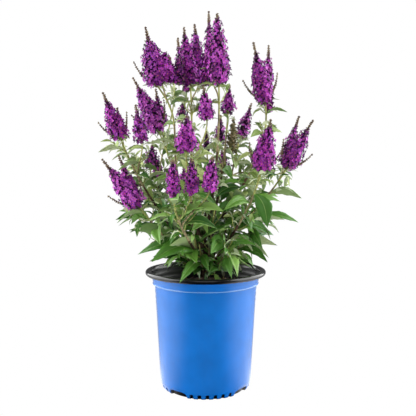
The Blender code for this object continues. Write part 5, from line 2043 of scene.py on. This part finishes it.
class SetStage(bpy.types.Operator):
    """Lay a white floor, light it from both sides, and put the camera where the photo was taken"""

    bl_idname = "bush.set_stage"
    bl_label = "Stage"

    def execute(self, context):
        settings = context.scene.bush_stage
        scene = context.scene
        camera = bpy.data.objects.new("camera", bpy.data.cameras.new("camera"))
        camera.data.lens = LENS
        camera.data.sensor_width = SENSOR
        camera.data.sensor_fit = "HORIZONTAL"
        camera.location = (CAMERA_ASIDE, -settings.camera_distance, settings.camera_height)
        camera.rotation_euler = (math.pi / 2 - settings.camera_tilt, 0, 0)
        scene.collection.objects.link(camera)
        scene.camera = camera
        for name, (place, size, power) in LIGHTS.items():
            self.add_light(scene, name, place, size, getattr(settings, power))
        self.lay_floor(scene)
        self.fill_air(scene, settings.air)
        scene.view_settings.view_transform = "Standard"
        scene.view_settings.look = "None"
        return {"FINISHED"}

    def add_light(self, scene, name, place, size, power):
        """A rectangular light that is aimed at the middle of the plant."""
        data = bpy.data.lights.new(name, "AREA")
        data.shape = "RECTANGLE"
        data.size, data.size_y = size
        data.energy = power
        light = bpy.data.objects.new(name, data)
        light.location = place
        light.rotation_euler = (AIM - light.location).to_track_quat("-Z", "Y").to_euler()
        scene.collection.objects.link(light)

    def lay_floor(self, scene):
        """A plane that lights the plant from below. The camera sees it as plain white."""
        mesh = bpy.data.meshes.new("floor")
        sides = ((-1, -1), (1, -1), (1, 1), (-1, 1))
        corners = [(x * FLOOR_HALF, y * FLOOR_HALF, FLOOR_HEIGHT) for x, y in sides]
        mesh.from_pydata(corners, [], [(0, 1, 2, 3)])
        finish, shader = shader_of("white_floor")
        tree = finish.node_tree
        fed(tree, shader, {"Base Color": opaque([FLOOR_GREY] * 3), "Roughness": FLOOR_ROUGHNESS})
        boards = added(tree, "Emission", {"Strength": board_strength(tree)}).outputs["Emission"]
        rays = added(tree, "LightPath", {}).outputs
        mirrored = added(tree, "MixShader", {
            "Fac": rays["Is Glossy Ray"], 1: shader.outputs["BSDF"], 2: boards})
        show_as_white(tree, "Emission", mirrored.outputs["Shader"], "Material Output")
        mesh.materials.append(finish)
        floor = bpy.data.objects.new("floor", mesh)
        scene.collection.objects.link(floor)

    def fill_air(self, scene, strength):
        """A soft light from all round, which the camera sees as white."""
        world = bpy.data.worlds.new("air")
        world.use_nodes = True
        tree = world.node_tree
        air = fed(tree, tree.nodes["Background"], {"Color": WHITE, "Strength": strength})
        show_as_white(tree, "Background", air.outputs["Background"], "World Output")
        scene.world = world


OPERATORS = (SetStage, MakePot, MakePottingMix, MakeBark, MakeStems, MakeLeaves, MakeBlossom)
SETTINGS = {"bush_pot": PotSettings, "bush_plant": PlantSettings, "bush_stage": StageSettings}


class BushPanel(bpy.types.Panel):
    """The settings and the operators, in the sidebar"""

    bl_idname = "VIEW3D_PT_bush"
    bl_label = "Butterfly bush"
    bl_space_type = "VIEW_3D"
    bl_region_type = "UI"
    bl_category = "Butterfly bush"

    def draw(self, context):
        for group in SETTINGS:
            settings = getattr(context.scene, group)
            for name in settings.__annotations__:
                self.layout.prop(settings, name)
        for operator in OPERATORS:
            self.layout.operator(operator.bl_idname)


CLASSES = (*SETTINGS.values(), *OPERATORS, BushPanel)


def register():
    for cls in CLASSES:
        bpy.utils.register_class(cls)
    for group, cls in SETTINGS.items():
        setattr(bpy.types.Scene, group, PointerProperty(type=cls))


def unregister():
    for group in SETTINGS:
        delattr(bpy.types.Scene, group)
    for cls in reversed(CLASSES):
        bpy.utils.unregister_class(cls)


def main():
    register()
    bpy.ops.bush.set_stage()
    bpy.ops.bush.make_pot()
    bpy.ops.bush.make_potting_mix()
    bpy.ops.bush.make_bark()
    bpy.ops.bush.make_stems()
    bpy.ops.bush.make_leaves()
    bpy.ops.bush.make_blossom()


if __name__ == "__main__":
    main()
